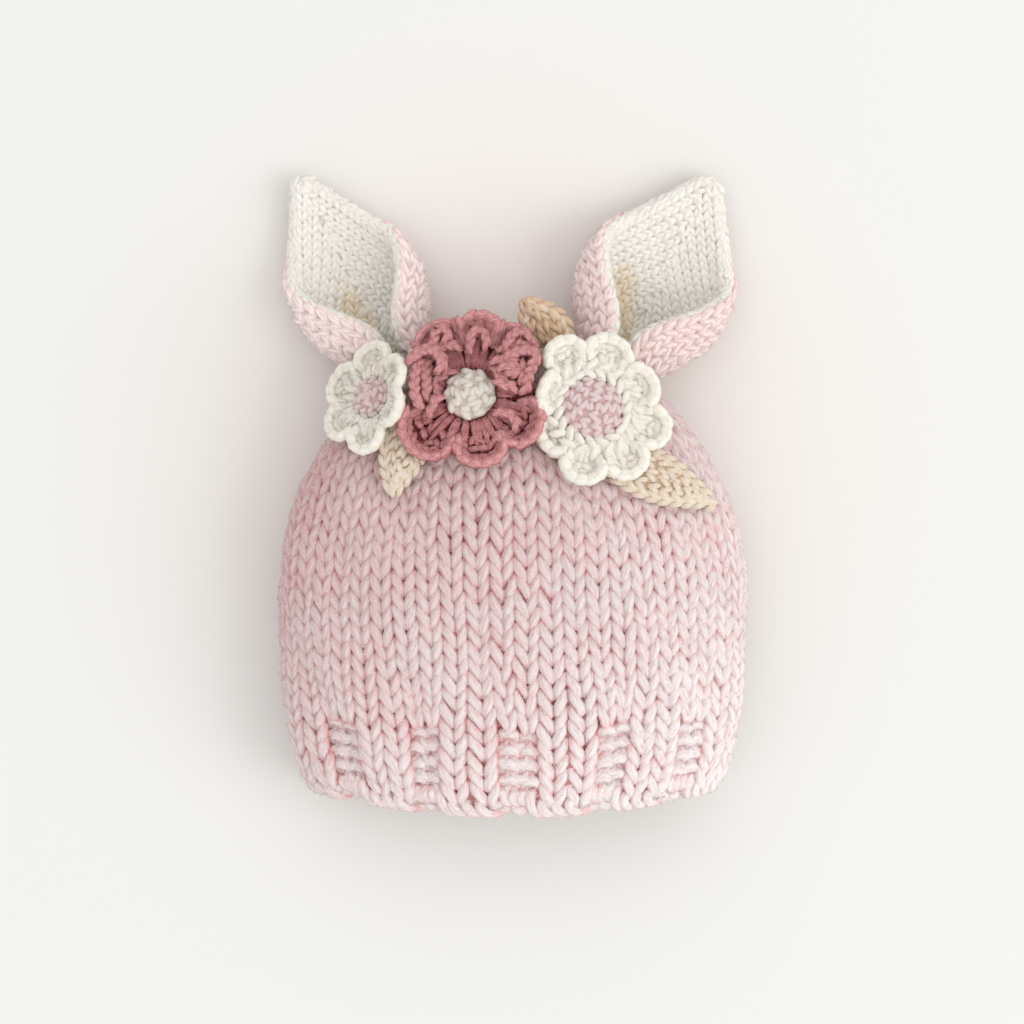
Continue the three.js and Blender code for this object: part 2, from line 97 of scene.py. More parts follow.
# Flowers: place, size, depth of the notches, rise, and each petal's angle, reach, lift and sideways fold
FLOWERS = {
    "rose": dict(
        x=-0.172, y=0.785, radius=30.0, centre=9.2, rise=1.2,
        notch=[0.86, 0.8, 0.76, 0.78, 0.68, 0.56, 0.66, 0.68],
        petals=[
            (18, 0.82, 1.4, 0.5), (50, 1.02, -0.3, 0.9), (83, 1.0, 0.6, -0.6), (118, 1.0, -0.2, 0.8),
            (163, 0.76, 1.3, -0.7), (226, 1.0, 0.3, 0.5), (284, 0.92, 0.1, -0.4), (330, 0.98, 0.2, 0.7),
        ],
    ),
    "large": dict(
        x=0.322, y=0.735, radius=28.0, centre=11.0, notch=0.64, rise=0.0,
        petals=[
            (24, 0.93, 0.1, 0.0), (74, 1.0, 0.2, 0.0), (117, 1.02, 0.1, 0.1), (160, 0.77, 0.7, 0.2),
            (217, 0.85, -0.6, 0.0), (258, 1.02, 0.1, 0.0), (303, 1.05, 0.0, 0.1), (341, 1.06, -0.1, 0.0),
        ],
    ),
    "small": dict(
        x=-0.56, y=0.775, radius=21.5, centre=7.2, notch=0.52, rise=0.0,
        petals=[
            (37, 0.92, 0.8, -0.4), (92, 0.98, 0.2, 0.0), (163, 1.0, 0.0, 0.0),
            (220, 1.0, 0.0, 0.0), (277, 1.02, 0.1, 0.1), (340, 0.88, 0.6, 0.5),
        ],
    ),
}

# Leaves: foot and tip as shares of the cap, width, height over what lies beneath, and whether it stands free
LEAVES = {
    "top_leaf": dict(foot=(0.2, 0.96), tip=(0.06, 1.16), width=0.95, over=13.0, free=True, shade=-1.6),
    "left_leaf": dict(foot=(-0.42, 0.72), tip=(-0.5, 0.425), width=0.8, over=0.3, free=False, shade=0.2),
    "right_leaf": dict(foot=(0.37, 0.575), tip=(0.825, 0.385), width=0.95, over=0.3, free=False, shade=0.0),
}

UP = np.array([0.0, 0.0, 1.0])

# Small helpers


def unit(vectors):
    """Vectors divided by their own length."""
    return vectors / np.maximum(np.linalg.norm(vectors, axis=-1, keepdims=True), 1e-12)


def smooth_step(low, high, value):
    """0 below low and 1 above high, on the curve 3 s^2 - 2 s^3 between them."""
    s = np.clip((value - low) / (high - low), 0, 1)
    return s * s * (3 - 2 * s)


def lengths_along(line):
    """Length walked along a line of points up to each of them."""
    return np.concatenate([[0], np.cumsum(np.linalg.norm(np.diff(line, axis=0), axis=1))])


def read_at(where, walked, values):
    """Rows of values at chosen lengths, where walked is the length at each row."""
    return np.stack([np.interp(where, walked, values[:, k]) for k in range(3)], -1)


# Meshes


class Pile:
    """Triangles gathered for one piece, with yarn coordinates and the lift above the cloth's middle, which
    the materials turn into painted shade.
    """

    def __init__(self):
        self.points, self.faces, self.uvs, self.lifts, self.count = [], [], [], [], 0
        self.roots = []

    def add(self, points, faces, uvs, lifts):
        """Adds a block of points, triangles, a pair of coordinates per corner and a lift per point."""
        self.points.append(points.reshape(-1, 3))
        self.faces.append(faces.reshape(-1, 3) + self.count)
        self.uvs.append(uvs.reshape(-1, 2))
        self.lifts.append(lifts.reshape(-1))
        self.count += points.size // 3

    def piece(self, name, material, slot, nodes=()):
        """Makes the gathered triangles one smooth-shaded object in metres that rides on the hat."""
        points = np.concatenate(self.points) * 0.001
        faces = np.concatenate(self.faces)
        mesh = bpy.data.meshes.new(name)
        mesh.vertices.add(len(points))
        mesh.vertices.foreach_set("co", points.ravel())
        mesh.loops.add(faces.size)
        mesh.loops.foreach_set("vertex_index", faces.ravel())
        mesh.polygons.add(len(faces))
        mesh.polygons.foreach_set("loop_start", np.arange(0, faces.size, 3))
        mesh.polygons.foreach_set("use_smooth", np.ones(len(faces), bool))
        mesh.update(calc_edges=True)
        mesh.uv_layers.new(name="yarn").uv.foreach_set("vector", np.concatenate(self.uvs).ravel())
        # The lift sets each point's painted shade in its material: the lower it is, the deeper the colour.
        mesh.attributes.new("lift", "FLOAT", "POINT").data.foreach_set("value", np.concatenate(self.lifts))
        mesh.materials.append(material)
        made = bpy.data.objects.new(name, mesh)
        bpy.context.scene.collection.objects.link(made)
        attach(made, "root")
        if nodes:
            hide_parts(*nodes)
        return made


END_REACH = 0.5  # how far a yarn's end points past its path, as a share of its radius
OPEN_SIDE = 0.25  # sine of the angle above which a yarn's surface can carry loose fibres


def tubes(pile, paths, upwards, radii, lifts, sides=8, closed=False, both=False):
    """Round yarns along many paths at once.

    A point is path + radius * (cos a * side + sin a * up). Up is the cloth's outward direction made square
    to the path, side is ahead x up, and a goes round in equal steps. The first yarn coordinate is the length
    walked in centimetres and the second the share of the way round. Open yarns end in a point. With both,
    the lift is counted from the cloth's middle towards either side.
    """
    paths = np.asarray(paths, float)
    many, steps = paths.shape[:2]
    if closed:
        ahead = np.roll(paths, -1, 1) - np.roll(paths, 1, 1)
    else:
        ahead = np.gradient(paths, axis=1)
    ahead = unit(ahead)
    upwards = np.broadcast_to(upwards, paths.shape)
    up = unit(upwards - (upwards * ahead).sum(-1, keepdims=True) * ahead)
    side = np.cross(ahead, up)
    radii = np.broadcast_to(radii, (many, steps))
    lifts = np.broadcast_to(lifts, (many, steps))
    turn = np.arange(sides) * 2 * np.pi / sides
    round_part = np.cos(turn)[:, None] * side[:, :, None, :] + np.sin(turn)[:, None] * up[:, :, None, :]
    points = paths[:, :, None, :] + radii[:, :, None, None] * round_part
    ring_lifts = lifts[:, :, None] + radii[:, :, None] * np.sin(turn)
    if both:
        ring_lifts = np.abs(ring_lifts)
    rest = paths[:, :1] if closed else paths[:, -1:]
    step = np.linalg.norm(np.diff(paths, axis=1, append=rest), axis=-1)
    walked = np.concatenate([np.zeros((many, 1)), np.cumsum(step, 1)], 1) * 0.1
    outer = np.sin(turn) > OPEN_SIDE
    rooted = np.concatenate([points, np.broadcast_to(ahead[:, :, None], points.shape), round_part], -1)
    pile.roots.append(rooted[:, :, outer].reshape(-1, 9))
    bands = steps if closed else steps - 1
    curve, band, corner = np.meshgrid(np.arange(many), np.arange(bands), np.arange(sides), indexing="ij")
    after = (band + 1) % steps
    beside = (corner + 1) % sides
    index = lambda c, i, j: (c * steps + i) * sides + j
    a, b = index(curve, band, corner), index(curve, after, corner)
    c, d = index(curve, after, beside), index(curve, band, beside)
    faces = np.stack([a, b, c, a, c, d], -1)
    from_u, to_u = walked[curve, band], walked[curve, band + 1]
    from_v, to_v = corner / sides, (corner + 1) / sides
    uvs = np.stack([from_u, from_v, to_u, from_v, to_u, to_v, from_u, from_v, to_u, to_v, from_u, to_v], -1)
    if closed:
        pile.add(points, faces, uvs, ring_lifts)
        return
    first_end = paths[:, 0] - END_REACH * radii[:, :1] * ahead[:, 0]
    last_end = paths[:, -1] + END_REACH * radii[:, -1:] * ahead[:, -1]
    ends = np.stack([first_end, last_end], 1)
    body = many * steps * sides
    curve, corner = np.meshgrid(np.arange(many), np.arange(sides), indexing="ij")
    beside = (corner + 1) % sides
    last = steps - 1
    start = np.stack([body + 2 * curve, index(curve, 0, corner), index(curve, 0, beside)], -1)
    stop = np.stack([body + 2 * curve + 1, index(curve, last, beside), index(curve, last, corner)], -1)
    cap_u = np.stack([np.zeros(curve.shape), walked[curve, steps - 1]], -1)
    cap_uvs = np.repeat(cap_u[..., None], 3, -1)
    around = np.stack([corner / sides, corner / sides, (corner + 1) / sides], -1)
    start_uvs = np.stack([cap_uvs[..., 0, :], around], -1)
    stop_uvs = np.stack([cap_uvs[..., 1, :], around], -1)
    pile.add(
        np.concatenate([points.reshape(-1, 3), ends.reshape(-1, 3)]),
        np.concatenate([faces.reshape(-1, 3), start.reshape(-1, 3), stop.reshape(-1, 3)]),
        np.concatenate([uvs.reshape(-1, 2), start_uvs.reshape(-1, 2), stop_uvs.reshape(-1, 2)]),
        np.concatenate([ring_lifts.ravel(), np.stack([lifts[:, 0], lifts[:, -1]], 1).ravel()]),
    )


def fuzz(pile, source, count, length=2.2, thick=0.07):
    """Loose fibres: thin three-sided spikes rooted at chance places of the yarns that are turned to the open.

    A fibre leans away from its yarn: direction = along * chance + out * 0.5 + sideways * chance.
    """
    roots = np.concatenate(source.roots)
    roots = roots[roots[:, 8] > -0.3]
    weight = 1 + 3 * (roots[:, 8] < 0.5)
    chosen = roots[rng.choice(len(roots), count, p=weight / weight.sum())]
    root, ahead, out = chosen[:, :3], chosen[:, 3:6], chosen[:, 6:]
    sideways = np.cross(ahead, out)
    evenly = lambda low, high: rng.uniform(low, high, (count, 1))
    root = root + ahead * evenly(-0.8, 0.8) + sideways * evenly(-0.4, 0.4) - out * 0.12
    lean = ahead * rng.normal(0, 0.9, (count, 1)) + out * evenly(0.12, 0.75)
    lean = unit(lean + sideways * rng.normal(0, 0.5, (count, 1)))
    reach = length * evenly(0.35, 1.0)
    first = unit(np.cross(lean, out + 0.01))
    second = np.cross(lean, first)
    tip = root + lean * reach
    base = [root + thick * (math.cos(a) * first + math.sin(a) * second) for a in (0, 2.094, 4.189)]
    points = np.stack([*base, tip], 1)
    index = np.arange(count)[:, None] * 4
    faces = np.stack([index + np.array(face) for face in ((0, 1, 3), (1, 2, 3), (2, 0, 3), (0, 2, 1))], 1)
    uvs = np.zeros((count * 12, 2)) + 0.5
    pile.add(points, faces, uvs, np.full(count * 4, 2.2))


def grains(pile, middles, alongs, upwards, length, radius, bow=0.0, lifts=0.0, sides=6, steps=6):
    """Short plump stretches of yarn, the legs of crocheted stitches.

    A point of the path is middle + (length / 2) s * along + bow (1 - s^2) * up for s from -1 to 1, and the
    radius is radius * (1 - 0.72 s^4), so that each leg tapers to both ends.
    """
    s = np.linspace(-1, 1, steps)
    length = np.broadcast_to(length, middles.shape[:1])
    radius = np.broadcast_to(radius, middles.shape[:1])
    bow = np.broadcast_to(bow, middles.shape[:1])
    alongs, upwards = unit(alongs), unit(upwards)
    paths = middles[:, None] + (length[:, None] / 2 * s)[..., None] * alongs[:, None]
    paths = paths + (bow[:, None] * (1 - s ** 2))[..., None] * upwards[:, None]
    radii = radius[:, None] * (1 - 0.72 * s ** 4)
    lifts = np.broadcast_to(lifts, middles.shape[:1])[:, None] + bow[:, None] * (1 - s ** 2)
    tubes(pile, paths, np.broadcast_to(upwards[:, None], paths.shape), radii, lifts, sides)


def sheet_grid(pile, top, under, lift, wrap_i=False, wrap_j=False):
    """A thin closed body between two grids of points of one size, with walls along its open edges."""
    rows, columns = top.shape[:2]
    row = np.arange(rows if wrap_i else rows - 1)
    column = np.arange(columns if wrap_j else columns - 1)
    i, j = np.meshgrid(row, column, indexing="ij")
    cell = lambda a, b: (a % rows) * columns + b % columns
    a, b, c, d = cell(i, j), cell(i, j + 1), cell(i + 1, j + 1), cell(i + 1, j)
    size = rows * columns
    upper = np.stack([a, b, c, a, c, d], -1).reshape(-1, 3)
    lower = (np.stack([a, c, b, a, d, c], -1) + size).reshape(-1, 3)
    wall = lambda p, q: np.stack([q, q + size, p, q + size, p + size, p], -1).reshape(-1, 3)
    walls = []
    if not wrap_i:
        walls.append(wall(cell(0, column + 1), cell(0, column)))
        walls.append(wall(cell(rows - 1, column), cell(rows - 1, column + 1)))
    if not wrap_j:
        walls.append(wall(cell(row, 0), cell(row + 1, 0)))
        walls.append(wall(cell(row + 1, columns - 1), cell(row, columns - 1)))
    points = np.concatenate([top.reshape(-1, 3), under.reshape(-1, 3)])
    faces = np.concatenate([upper, lower, *walls])
    u = np.repeat(np.arange(rows) * 0.3, columns)
    v = np.tile(np.arange(columns) * 0.3, rows)
    flat = np.stack([u, v], -1)
    flat = np.concatenate([flat, flat])
    pile.add(points, faces, flat[faces], np.broadcast_to(float(lift), len(points)))


# Cap surface


def cap_section(along, inset=0.0):
    """Half width, rise and drop of the cap's section at a place along it.

    The place is -1 at the brim, 0 at the widest and 1 at the crown's end.
    """
    dome = np.cos(np.clip(along, 0, 1) * np.pi / 2)
    skirt = np.clip(-along, 0, 1.2)
    taper = 1 - SKIRT_TAPER * skirt ** 2 - BRIM_DRAW * skirt ** 8
    half = (CAP_WIDTH / 2 - inset) * dome ** DOME_WIDTH_POWER * taper
    rise = (CAP_HEIGHT - EDGE_HEIGHT - inset) * dome ** DOME_HEIGHT_POWER * (1 - BRIM_SINK * skirt ** 2)
    drop = (EDGE_HEIGHT + BACK_PRESS - inset) * dome ** DOME_HEIGHT_POWER
    return half, rise, drop


def cap_point(along, angle, inset=0.0):
    """A point of the cap: an arch of the section's rise in front, and its drop pressed flat behind."""
    half, rise, drop = cap_section(along, inset)
    full = np.abs(np.sin(angle)) ** SECTION_POWER
    front = np.sin(angle) >= 0
    dip = np.where(front, BRIM_DIP, BACK_DIP) * np.sin(angle) ** 2 * ((1 - along) / 2) ** 2
    crown = (CROWN_LENGTH - inset) * np.sin(np.clip(along, 0, 1) * np.pi / 2)
    length = np.where(along < 0, SKIRT_LENGTH * along, crown)
    height = np.where(front, EDGE_HEIGHT + rise * full, np.maximum(inset, EDGE_HEIGHT - drop * full))
    return np.stack([half * np.cos(angle), length - dip, height], -1)


def cap_frame(along, angle, inset):
    """A point of the cap and the direction out of it, from the surface's two slopes."""
    step = 2e-3
    inner = np.clip(along, -1.3, 1 - 2 * step)
    da = cap_point(inner + step, angle, inset) - cap_point(inner - step, angle, inset)
    dt = cap_point(inner, angle + step, inset) - cap_point(inner, angle - step, inset)
    return cap_point(along, angle, inset), unit(np.cross(da, dt))


def cap_top(x, y):
    """Height of the cap's front at a place seen from above."""
    crown = np.arcsin(np.clip(y / CROWN_LENGTH, 0, 1)) * 2 / np.pi
    along = np.where(y < 0, np.maximum(-1, y / SKIRT_LENGTH), crown)
    half, rise, _ = cap_section(along)
    across = np.minimum(1, np.abs(x) / np.maximum(half, 1e-6))
    return EDGE_HEIGHT + rise * (1 - across ** 2) ** (SECTION_POWER / 2)


TURN_STEPS = 1440


def wale_angles():
    """The section's angle at each wale: equal shares of the way round, wider in the front's middle."""
    angle = np.linspace(0, 4 * np.pi, 2 * TURN_STEPS + 1)
    points = cap_point(np.zeros_like(angle), angle)
    middle = np.exp(-((points[:-1, 0] / (CAP_WIDTH / 2 * MIDDLE_SPREAD)) ** 2))
    stretch = 1 + np.where(np.sin(angle[:-1]) > 0, MIDDLE_STRETCH * middle, 0)
    walked = np.concatenate([[0], np.cumsum(np.linalg.norm(np.diff(points, axis=0), axis=1) / stretch)])
    start = np.interp(math.acos(RIB_OFFSET / (CAP_WIDTH / 2)), angle, walked)
    return (walked - start) / walked[TURN_STEPS] * STITCHES, angle


WALE_TABLE, ANGLE_TABLE = wale_angles()


def wale_angle(wale):
    """The section's angle at a wale, counted from the front's middle purl rib."""
    return np.interp(np.mod(wale, STITCHES), WALE_TABLE, ANGLE_TABLE)


# Knitting

YARN = 2.05  # half the thickness of the cap's yarn
ROW = 5.8  # height of a row of stitches
RIB_ROWS = 5
CLOTH_INSET = 3.45  # from the cap's outside to the middle of its knitting
LOOP_DEPTH = 1.35  # how far the legs stand before the middle
LEAN = 0.33 / 60  # sideways drift of the wales, in stitches a millimetre


def loop_curve(stitches, points, leg=1.68, skew=0.26):
    """One row of knitted loops as (across, up, out).

    With t going round once a stitch: across = t + (leg + skew sin t) sin 2t in stitches, up = cos t in rows,
    and out = -cos 2t as a share of the loop's depth. The two legs of each loop stand in front as a V.
    """
    t = np.linspace(-np.pi, np.pi, points, endpoint=False)
    across = (t + (leg + skew * np.sin(t)) * np.sin(2 * t)) / (2 * np.pi) + 0.5
    count = np.arange(stitches)[:, None]
    flat = lambda value: np.broadcast_to(value, (stitches, points)).ravel()
    wale = (count + 0.5 + t / (2 * np.pi)).ravel()
    plump = flat(np.sin(t) ** 2)
    return (count + across).ravel(), flat(np.cos(t)), flat(-np.cos(2 * t)), wale, plump


def meridian():
    """Place along the cap for each row, by the length of its front's middle line."""
    along = np.linspace(-1.12, 1, 1600)
    walked = lengths_along(cap_point(along, np.full_like(along, np.pi / 2), CLOTH_INSET))
    brim = np.interp(-1, along, walked)
    return (walked - brim) / ROW, along


ROW_TABLE, ALONG_TABLE = meridian()
LAST_ROW = ROW_TABLE[-1]


def row_place(row):
    """Place along the cap of a row counted from the brim's edge."""
    return np.interp(row, ROW_TABLE, ALONG_TABLE)


def purl_share(wale, row):
    """1 in the purl ribs, 0 elsewhere: two stitches of every four, in the rows at the brim."""
    away = np.abs(np.mod(wale + 2, 4) - 2)
    return (1 - smooth_step(0.9, 1.1, away)) * (row < RIB_ROWS)


def row_stitches(row):
    """Stitches in a row: eight wedges that each lose a stitch as the crown narrows."""
    along = row_place(row + 0.5)
    angle = np.linspace(0, 2 * np.pi, 200)
    ring = lambda place: cap_point(np.full(200, place), angle)
    round_at = lambda place: np.linalg.norm(np.diff(ring(place), axis=0), axis=1).sum()
    return 8 * min(6, max(1, math.ceil(6 * round_at(max(along, 0)) / round_at(0) + 0.15)))


def cap_row(pile, row, sides=7, points=14):
    """One row of the cap's knitting, a closed yarn laid on the cloth's middle surface."""
    count = row_stitches(row)
    across, up, out, wale, plump = loop_curve(count, points)
    scale = STITCHES / count
    across, wale = across * scale, wale * scale
    height = row + 0.9 + up * 1.02
    purl = purl_share(wale, row)
    rib = np.clip((RIB_ROWS + 3 - row) / 3, 0, 1)
    across = across - 0.2 * rib * np.sin(np.pi * across / 2)
    jitter = rng.normal(0, 1, (4, count))
    fine, whole = np.arange(count * points) / points, np.arange(count + 1)
    spread = lambda values: np.interp(fine, whole, np.append(values, values[0]))
    around = 2 * np.pi * wale / STITCHES
    across = across + 0.05 * spread(jitter[0]) + 0.1 * np.sin(5 * around + 0.31 * row)
    height = height + 0.07 * spread(jitter[1]) + 0.12 * np.sin(7 * around - 0.2 * row)
    place = row_place(np.clip(height, -1.5, LAST_ROW - 0.02))
    drift = LEAN * np.clip(place * SKIRT_LENGTH + 40, 0, 100)
    middle, outwards = cap_frame(place, wale_angle(across + drift), CLOTH_INSET)
    lift = LOOP_DEPTH * out * (1 - 2 * purl) + 0.22 * spread(jitter[2])
    swell = 0.45 * np.sin(6 * around + 0.37 * row) + 0.35 * np.sin(11 * around - 0.52 * row + 1)
    sunk = RIB_DEPTH * purl * (row < RIB_ROWS)
    radius = YARN * (0.8 + 0.23 * plump) * (1 + 0.055 * spread(jitter[3]))
    narrow = np.clip((LAST_ROW - height) / 3, 0.6, 1)
    path = middle + outwards * (lift - sunk + swell * np.minimum(1, narrow))[:, None]
    radius = radius * narrow * (1 + 0.1 * purl + 0.3 * purl * (1 - plump))
    tubes(pile, path[None], outwards[None], radius[None], lift[None], sides, closed=True, both=True)


def cap_cast_on(pile):
    """The cast-on edge: two yarns twisted round each other once a stitch, along the brim's lowest line."""
    points = STITCHES * 12
    wale = np.arange(points) * STITCHES / points
    for phase in (0, np.pi):
        turn = 2 * np.pi * wale + phase
        away = np.abs(np.mod(wale + 2, 4) - 2)
        purl = 1 - smooth_step(0.8, 1.2, away)
        place = row_place(0.02 + 0.34 * np.sin(turn) + 0.62 * purl)
        across = wale - 0.2 * np.sin(np.pi * wale / 2) + 0.3 * np.cos(turn)
        middle, outwards = cap_frame(place, wale_angle(across), CLOTH_INSET)
        lift = 1.4 * np.cos(turn) - 1.1 * purl
        path = middle + outwards * lift[:, None]
        radius = 2.15 + 0.2 * np.sin(turn)
        # The purl stretch takes a higher lift in colour than in place, so less painted shade.
        lift = lift[None] + 0.5 * purl
        tubes(pile, path[None], outwards[None], radius[None], lift, 8, closed=True, both=True)


def cap_shade_sheet(pile):
    """The middle of the cloth, a thin closed shell that fills the small gaps between the yarns, coloured a
    darker pink as painted shade.
    """
    along = np.concatenate([np.linspace(-0.985, 0.9, 60), np.linspace(0.9, 0.985, 8)[1:]])
    wale = np.arange(96) / 2
    a, w = np.meshgrid(along, wale, indexing="ij")
    row = np.interp(a, ALONG_TABLE, ROW_TABLE)
    sunk = RIB_DEPTH * purl_share(w, row - 1.3)
    middle, outwards = cap_frame(a, wale_angle(w), CLOTH_INSET)
    over = middle + outwards * (0.35 + 0.7 * (sunk == 0) - sunk)[..., None]
    under = middle - outwards * (0.35 + sunk)[..., None]
    sheet_grid(pile, over[:, ::-1], under[:, ::-1], -1.6, wrap_j=True)


# Ears


def ear_column(key, s):
    """A column of the ear's table at s, on a curve through the rows that never overshoots one."""
    x, y = EAR_SECTIONS[:, 0], EAR_SECTIONS[:, key]
    slope = np.diff(y) / np.diff(x)
    before, after = slope[:-1], slope[1:]
    both = np.where(before + after == 0, 1, before + after)
    even = np.where(before * after <= 0, 0, 2 * before * after / both)
    tangent = np.concatenate([slope[:1], even, slope[-1:]])
    s = np.asarray(s, float)
    row = np.clip(np.searchsorted(x, s, side="right") - 1, 0, len(x) - 2)
    span = x[row + 1] - x[row]
    t = (s - x[row]) / span
    return (
        (2 * t ** 3 - 3 * t ** 2 + 1) * y[row] + (t ** 3 - 2 * t ** 2 + t) * span * tangent[row]
        + (3 * t ** 2 - 2 * t ** 3) * y[row + 1] + (t ** 3 - t ** 2) * span * tangent[row + 1]
    )


def ear_point(ear, s, t):
    """The ear's middle surface: part of an ellipse whose sides are rolled forward by the table's curl."""
    lean = math.radians(ear["lean"])
    axis = np.array([math.sin(lean), math.cos(lean), 0])
    across = np.array([axis[1], -axis[0], 0])
    root = np.array([ear["x"] * CAP_WIDTH / 2, ear["y"] * CROWN_LENGTH, 0])
    half = EAR_HALF_WIDTH * ear["width"] * ear_column(1, s)
    curl = np.radians(ear_column(2, s))
    radius = np.where(curl < np.pi / 2, half / np.sin(np.minimum(curl, np.pi / 2)), half)
    angle = curl * (2 * t - 1) + math.radians(ear["turn"]) * (1 - s) ** 2
    flatness = EAR_FOOT_FLATNESS + (EAR_FLATNESS - EAR_FOOT_FLATNESS) * smooth_step(0, 0.4, s)
    root_height = EDGE_HEIGHT - EAR_FOOT_FLATNESS * EAR_HALF_WIDTH * EAR_SECTIONS[0, 1]
    low_height = EAR_LAYER + CLEARANCE / 2 + EAR_FLOOR_GAP
    height = root_height + (low_height - root_height) * smooth_step(0, 0.45, s)
    height = height + EAR_TIP_LIFT * smooth_step(0.6, 1, s)
    place = root + (s * EAR_LENGTH)[..., None] * axis + (radius * np.sin(angle))[..., None] * across
    return place + np.stack([0 * s, 0 * s, height + flatness * radius * (1 - np.cos(angle))], -1)


def ear_frame(ear, s, t):
    """A point of the ear's middle surface, the direction towards its lining, and those along s and t."""
    step = 1e-3
    si, ti = np.clip(s, step, 1 - step), np.clip(t, step, 1 - step)
    ds = unit(ear_point(ear, si + step, ti) - ear_point(ear, si - step, ti))
    dt = unit(ear_point(ear, si, ti + step) - ear_point(ear, si, ti - step))
    return ear_point(ear, s, t), unit(np.cross(dt, ds)), ds, dt


def inside_cap(points):
    """How far points are inside the cap's skin, roughly, in millimetres."""
    x, y, z = points[..., 0], points[..., 1], points[..., 2]
    along = np.where(y < 0, y / SKIRT_LENGTH, np.arcsin(np.clip(y / CROWN_LENGTH, 0, 0.9999)) * 2 / np.pi)
    half, rise, drop = cap_section(along)
    high = np.where(z > EDGE_HEIGHT, (z - EDGE_HEIGHT) / rise, (EDGE_HEIGHT - z) / drop)
    reach = np.sqrt((x / half) ** 2 + np.abs(high) ** (2 / SECTION_POWER))
    return np.where(y > CROWN_LENGTH, -9, (1 - reach) * np.minimum(half, 18))


# Painted shade along the lining's crease: its width as a share, how dark its colour is, and where it fades
CREASE_WIDTH = 0.06
CREASE_SHADE_DEPTH = 3.0
CREASE_FADE = (0.46, 0.64)


def ear_layer(pile, ear, side, edge, width, pitch, thick, lift):
    """Lines of V-shaped stitches along one layer of the ear, beside both of its edges as far as they meet.

    side is 1 for the lining and -1 for the back. A line keeps its distance from the edge, walked across the
    layer, and its stitches stand at equal steps along it.
    """
    offset = side * (CLEARANCE / 2 + EAR_LAYER / 2)
    places, fine = np.linspace(0.1, 0.99, 100), np.linspace(0, 1, 161)
    base, inward, _, _ = ear_frame(ear, *np.meshgrid(places, fine, indexing="ij"))
    skin = base + inward * offset
    step = np.linalg.norm(np.diff(skin, axis=1), axis=-1)
    walked = np.concatenate([np.zeros((100, 1)), np.cumsum(step, 1)], 1)
    total = walked[:, -1]
    for column in range(int(total.max() / 2 / width) + 1):
        depth = edge + (column + 0.5) * width
        wide = np.flatnonzero(total / 2 > depth - 0.35 * width)
        if len(wide) < 5:
            continue
        for hand in (0, 1):
            goals = total - depth if hand else total * 0 + depth
            line_t = np.array([np.interp(goals[i], walked[i], fine) for i in wide])
            line_s = places[wide]
            line = ear_point(ear, line_s, line_t)
            reach = lengths_along(line)
            count = int(reach[-1] / pitch)
            if count < 3:
                continue
            where = (np.arange(count) + 0.5) * pitch + rng.normal(0, 0.12, count)
            at_s, at_t = np.interp(where, reach, line_s), np.interp(where, reach, line_t)
            middle, inward, _, _ = ear_frame(ear, at_s, at_t)
            face = side * inward
            centre = middle + inward * offset + face * rng.normal(0, 0.1, (count, 1))
            ahead = unit(np.gradient(centre, axis=0))
            across = unit(np.cross(ahead, face))
            keep = inside_cap(centre) < 3
            # Painted shade: along the crease of the fold the lining's colour is pushed towards its ochre
            # second colour.
            crease_t = ear["crease"][0] + ear["crease"][1] * at_s
            fade = 1 - smooth_step(*CREASE_FADE, at_s)
            crease = np.exp(-(((at_t - crease_t) / CREASE_WIDTH) ** 2)) * fade * (side > 0)
            for leg in (-1, 1):
                spots = centre + across * (leg * 0.25 * width + rng.normal(0, 0.08, (count, 1)))
                legs = ahead + across * (leg * 0.42 + rng.normal(0, 0.08, (count, 1)))
                size = thick * (1 + rng.normal(0, 0.05, count))
                tone = lift - CREASE_SHADE_DEPTH * crease + rng.normal(0, 0.15, count)
                grains(pile, spots[keep], legs[keep], face[keep], pitch * 1.62, size[keep], 0.35, tone[keep])


# The rolled edge: how far its middle lies inside the ear's edge, its radius, and its lines' angles in degrees
ROLL_INSET = 1.9
ROLL_RADIUS = 1.65
ROLL_TURNS = (10, 55, 100, 142)


def ear_rim(pile, ear, pitch=3.7):
    """The rolled cream edge with lines of V-shaped stitches, from the ear's foot to its tip and back."""
    s_up = np.linspace(0.17, 1, 90)
    path_s = np.concatenate([s_up, np.full(11, 1.0), s_up[::-1]])
    path_t = np.concatenate([np.zeros(90), np.linspace(0, 1, 13)[1:-1], np.ones(90)])
    base, inward, ds, dt = ear_frame(ear, path_s, path_t)
    tip = smooth_step(0.93, 1, path_s)[:, None] * (1 - np.abs(2 * path_t - 1) ** 4)[:, None]
    sideways = unit(dt * (2 * path_t - 1)[:, None] + ds * tip * 2)
    walked = lengths_along(base)
    count = int(walked[-1] / pitch)
    where = (np.arange(count) + 0.5) * pitch
    at = lambda values: read_at(where, walked, values)
    middle, inward, sideways = at(base), unit(at(inward)), unit(at(sideways))
    ahead = unit(np.gradient(middle, axis=0))
    core = middle - sideways * ROLL_INSET
    inside = inside_cap(core) < 3
    first, last = np.flatnonzero(inside)[[0, -1]]
    core = core[first:last + 1]
    tubes(pile, core[None], inward[None, first:last + 1], 2.1, 0.3, 10)
    for roll in ROLL_TURNS:
        face = math.cos(math.radians(roll)) * inward + math.sin(math.radians(roll)) * sideways
        centre = middle - sideways * ROLL_INSET + face * ROLL_RADIUS
        across = unit(np.cross(ahead, face))
        keep = inside_cap(centre) < 2
        for hand in (-1, 1):
            many = len(centre)
            legs = ahead + across * (hand * 0.34 + rng.normal(0, 0.1, (many, 1)))
            legs = unit(legs + face * rng.normal(0, 0.06, (many, 1)))
            places = centre + across * (hand * 0.62) + rng.normal(0, 0.14, (many, 3))
            grains(pile, places[keep], legs[keep], face[keep], 6.0, 1.05, 0.2, 0.7)


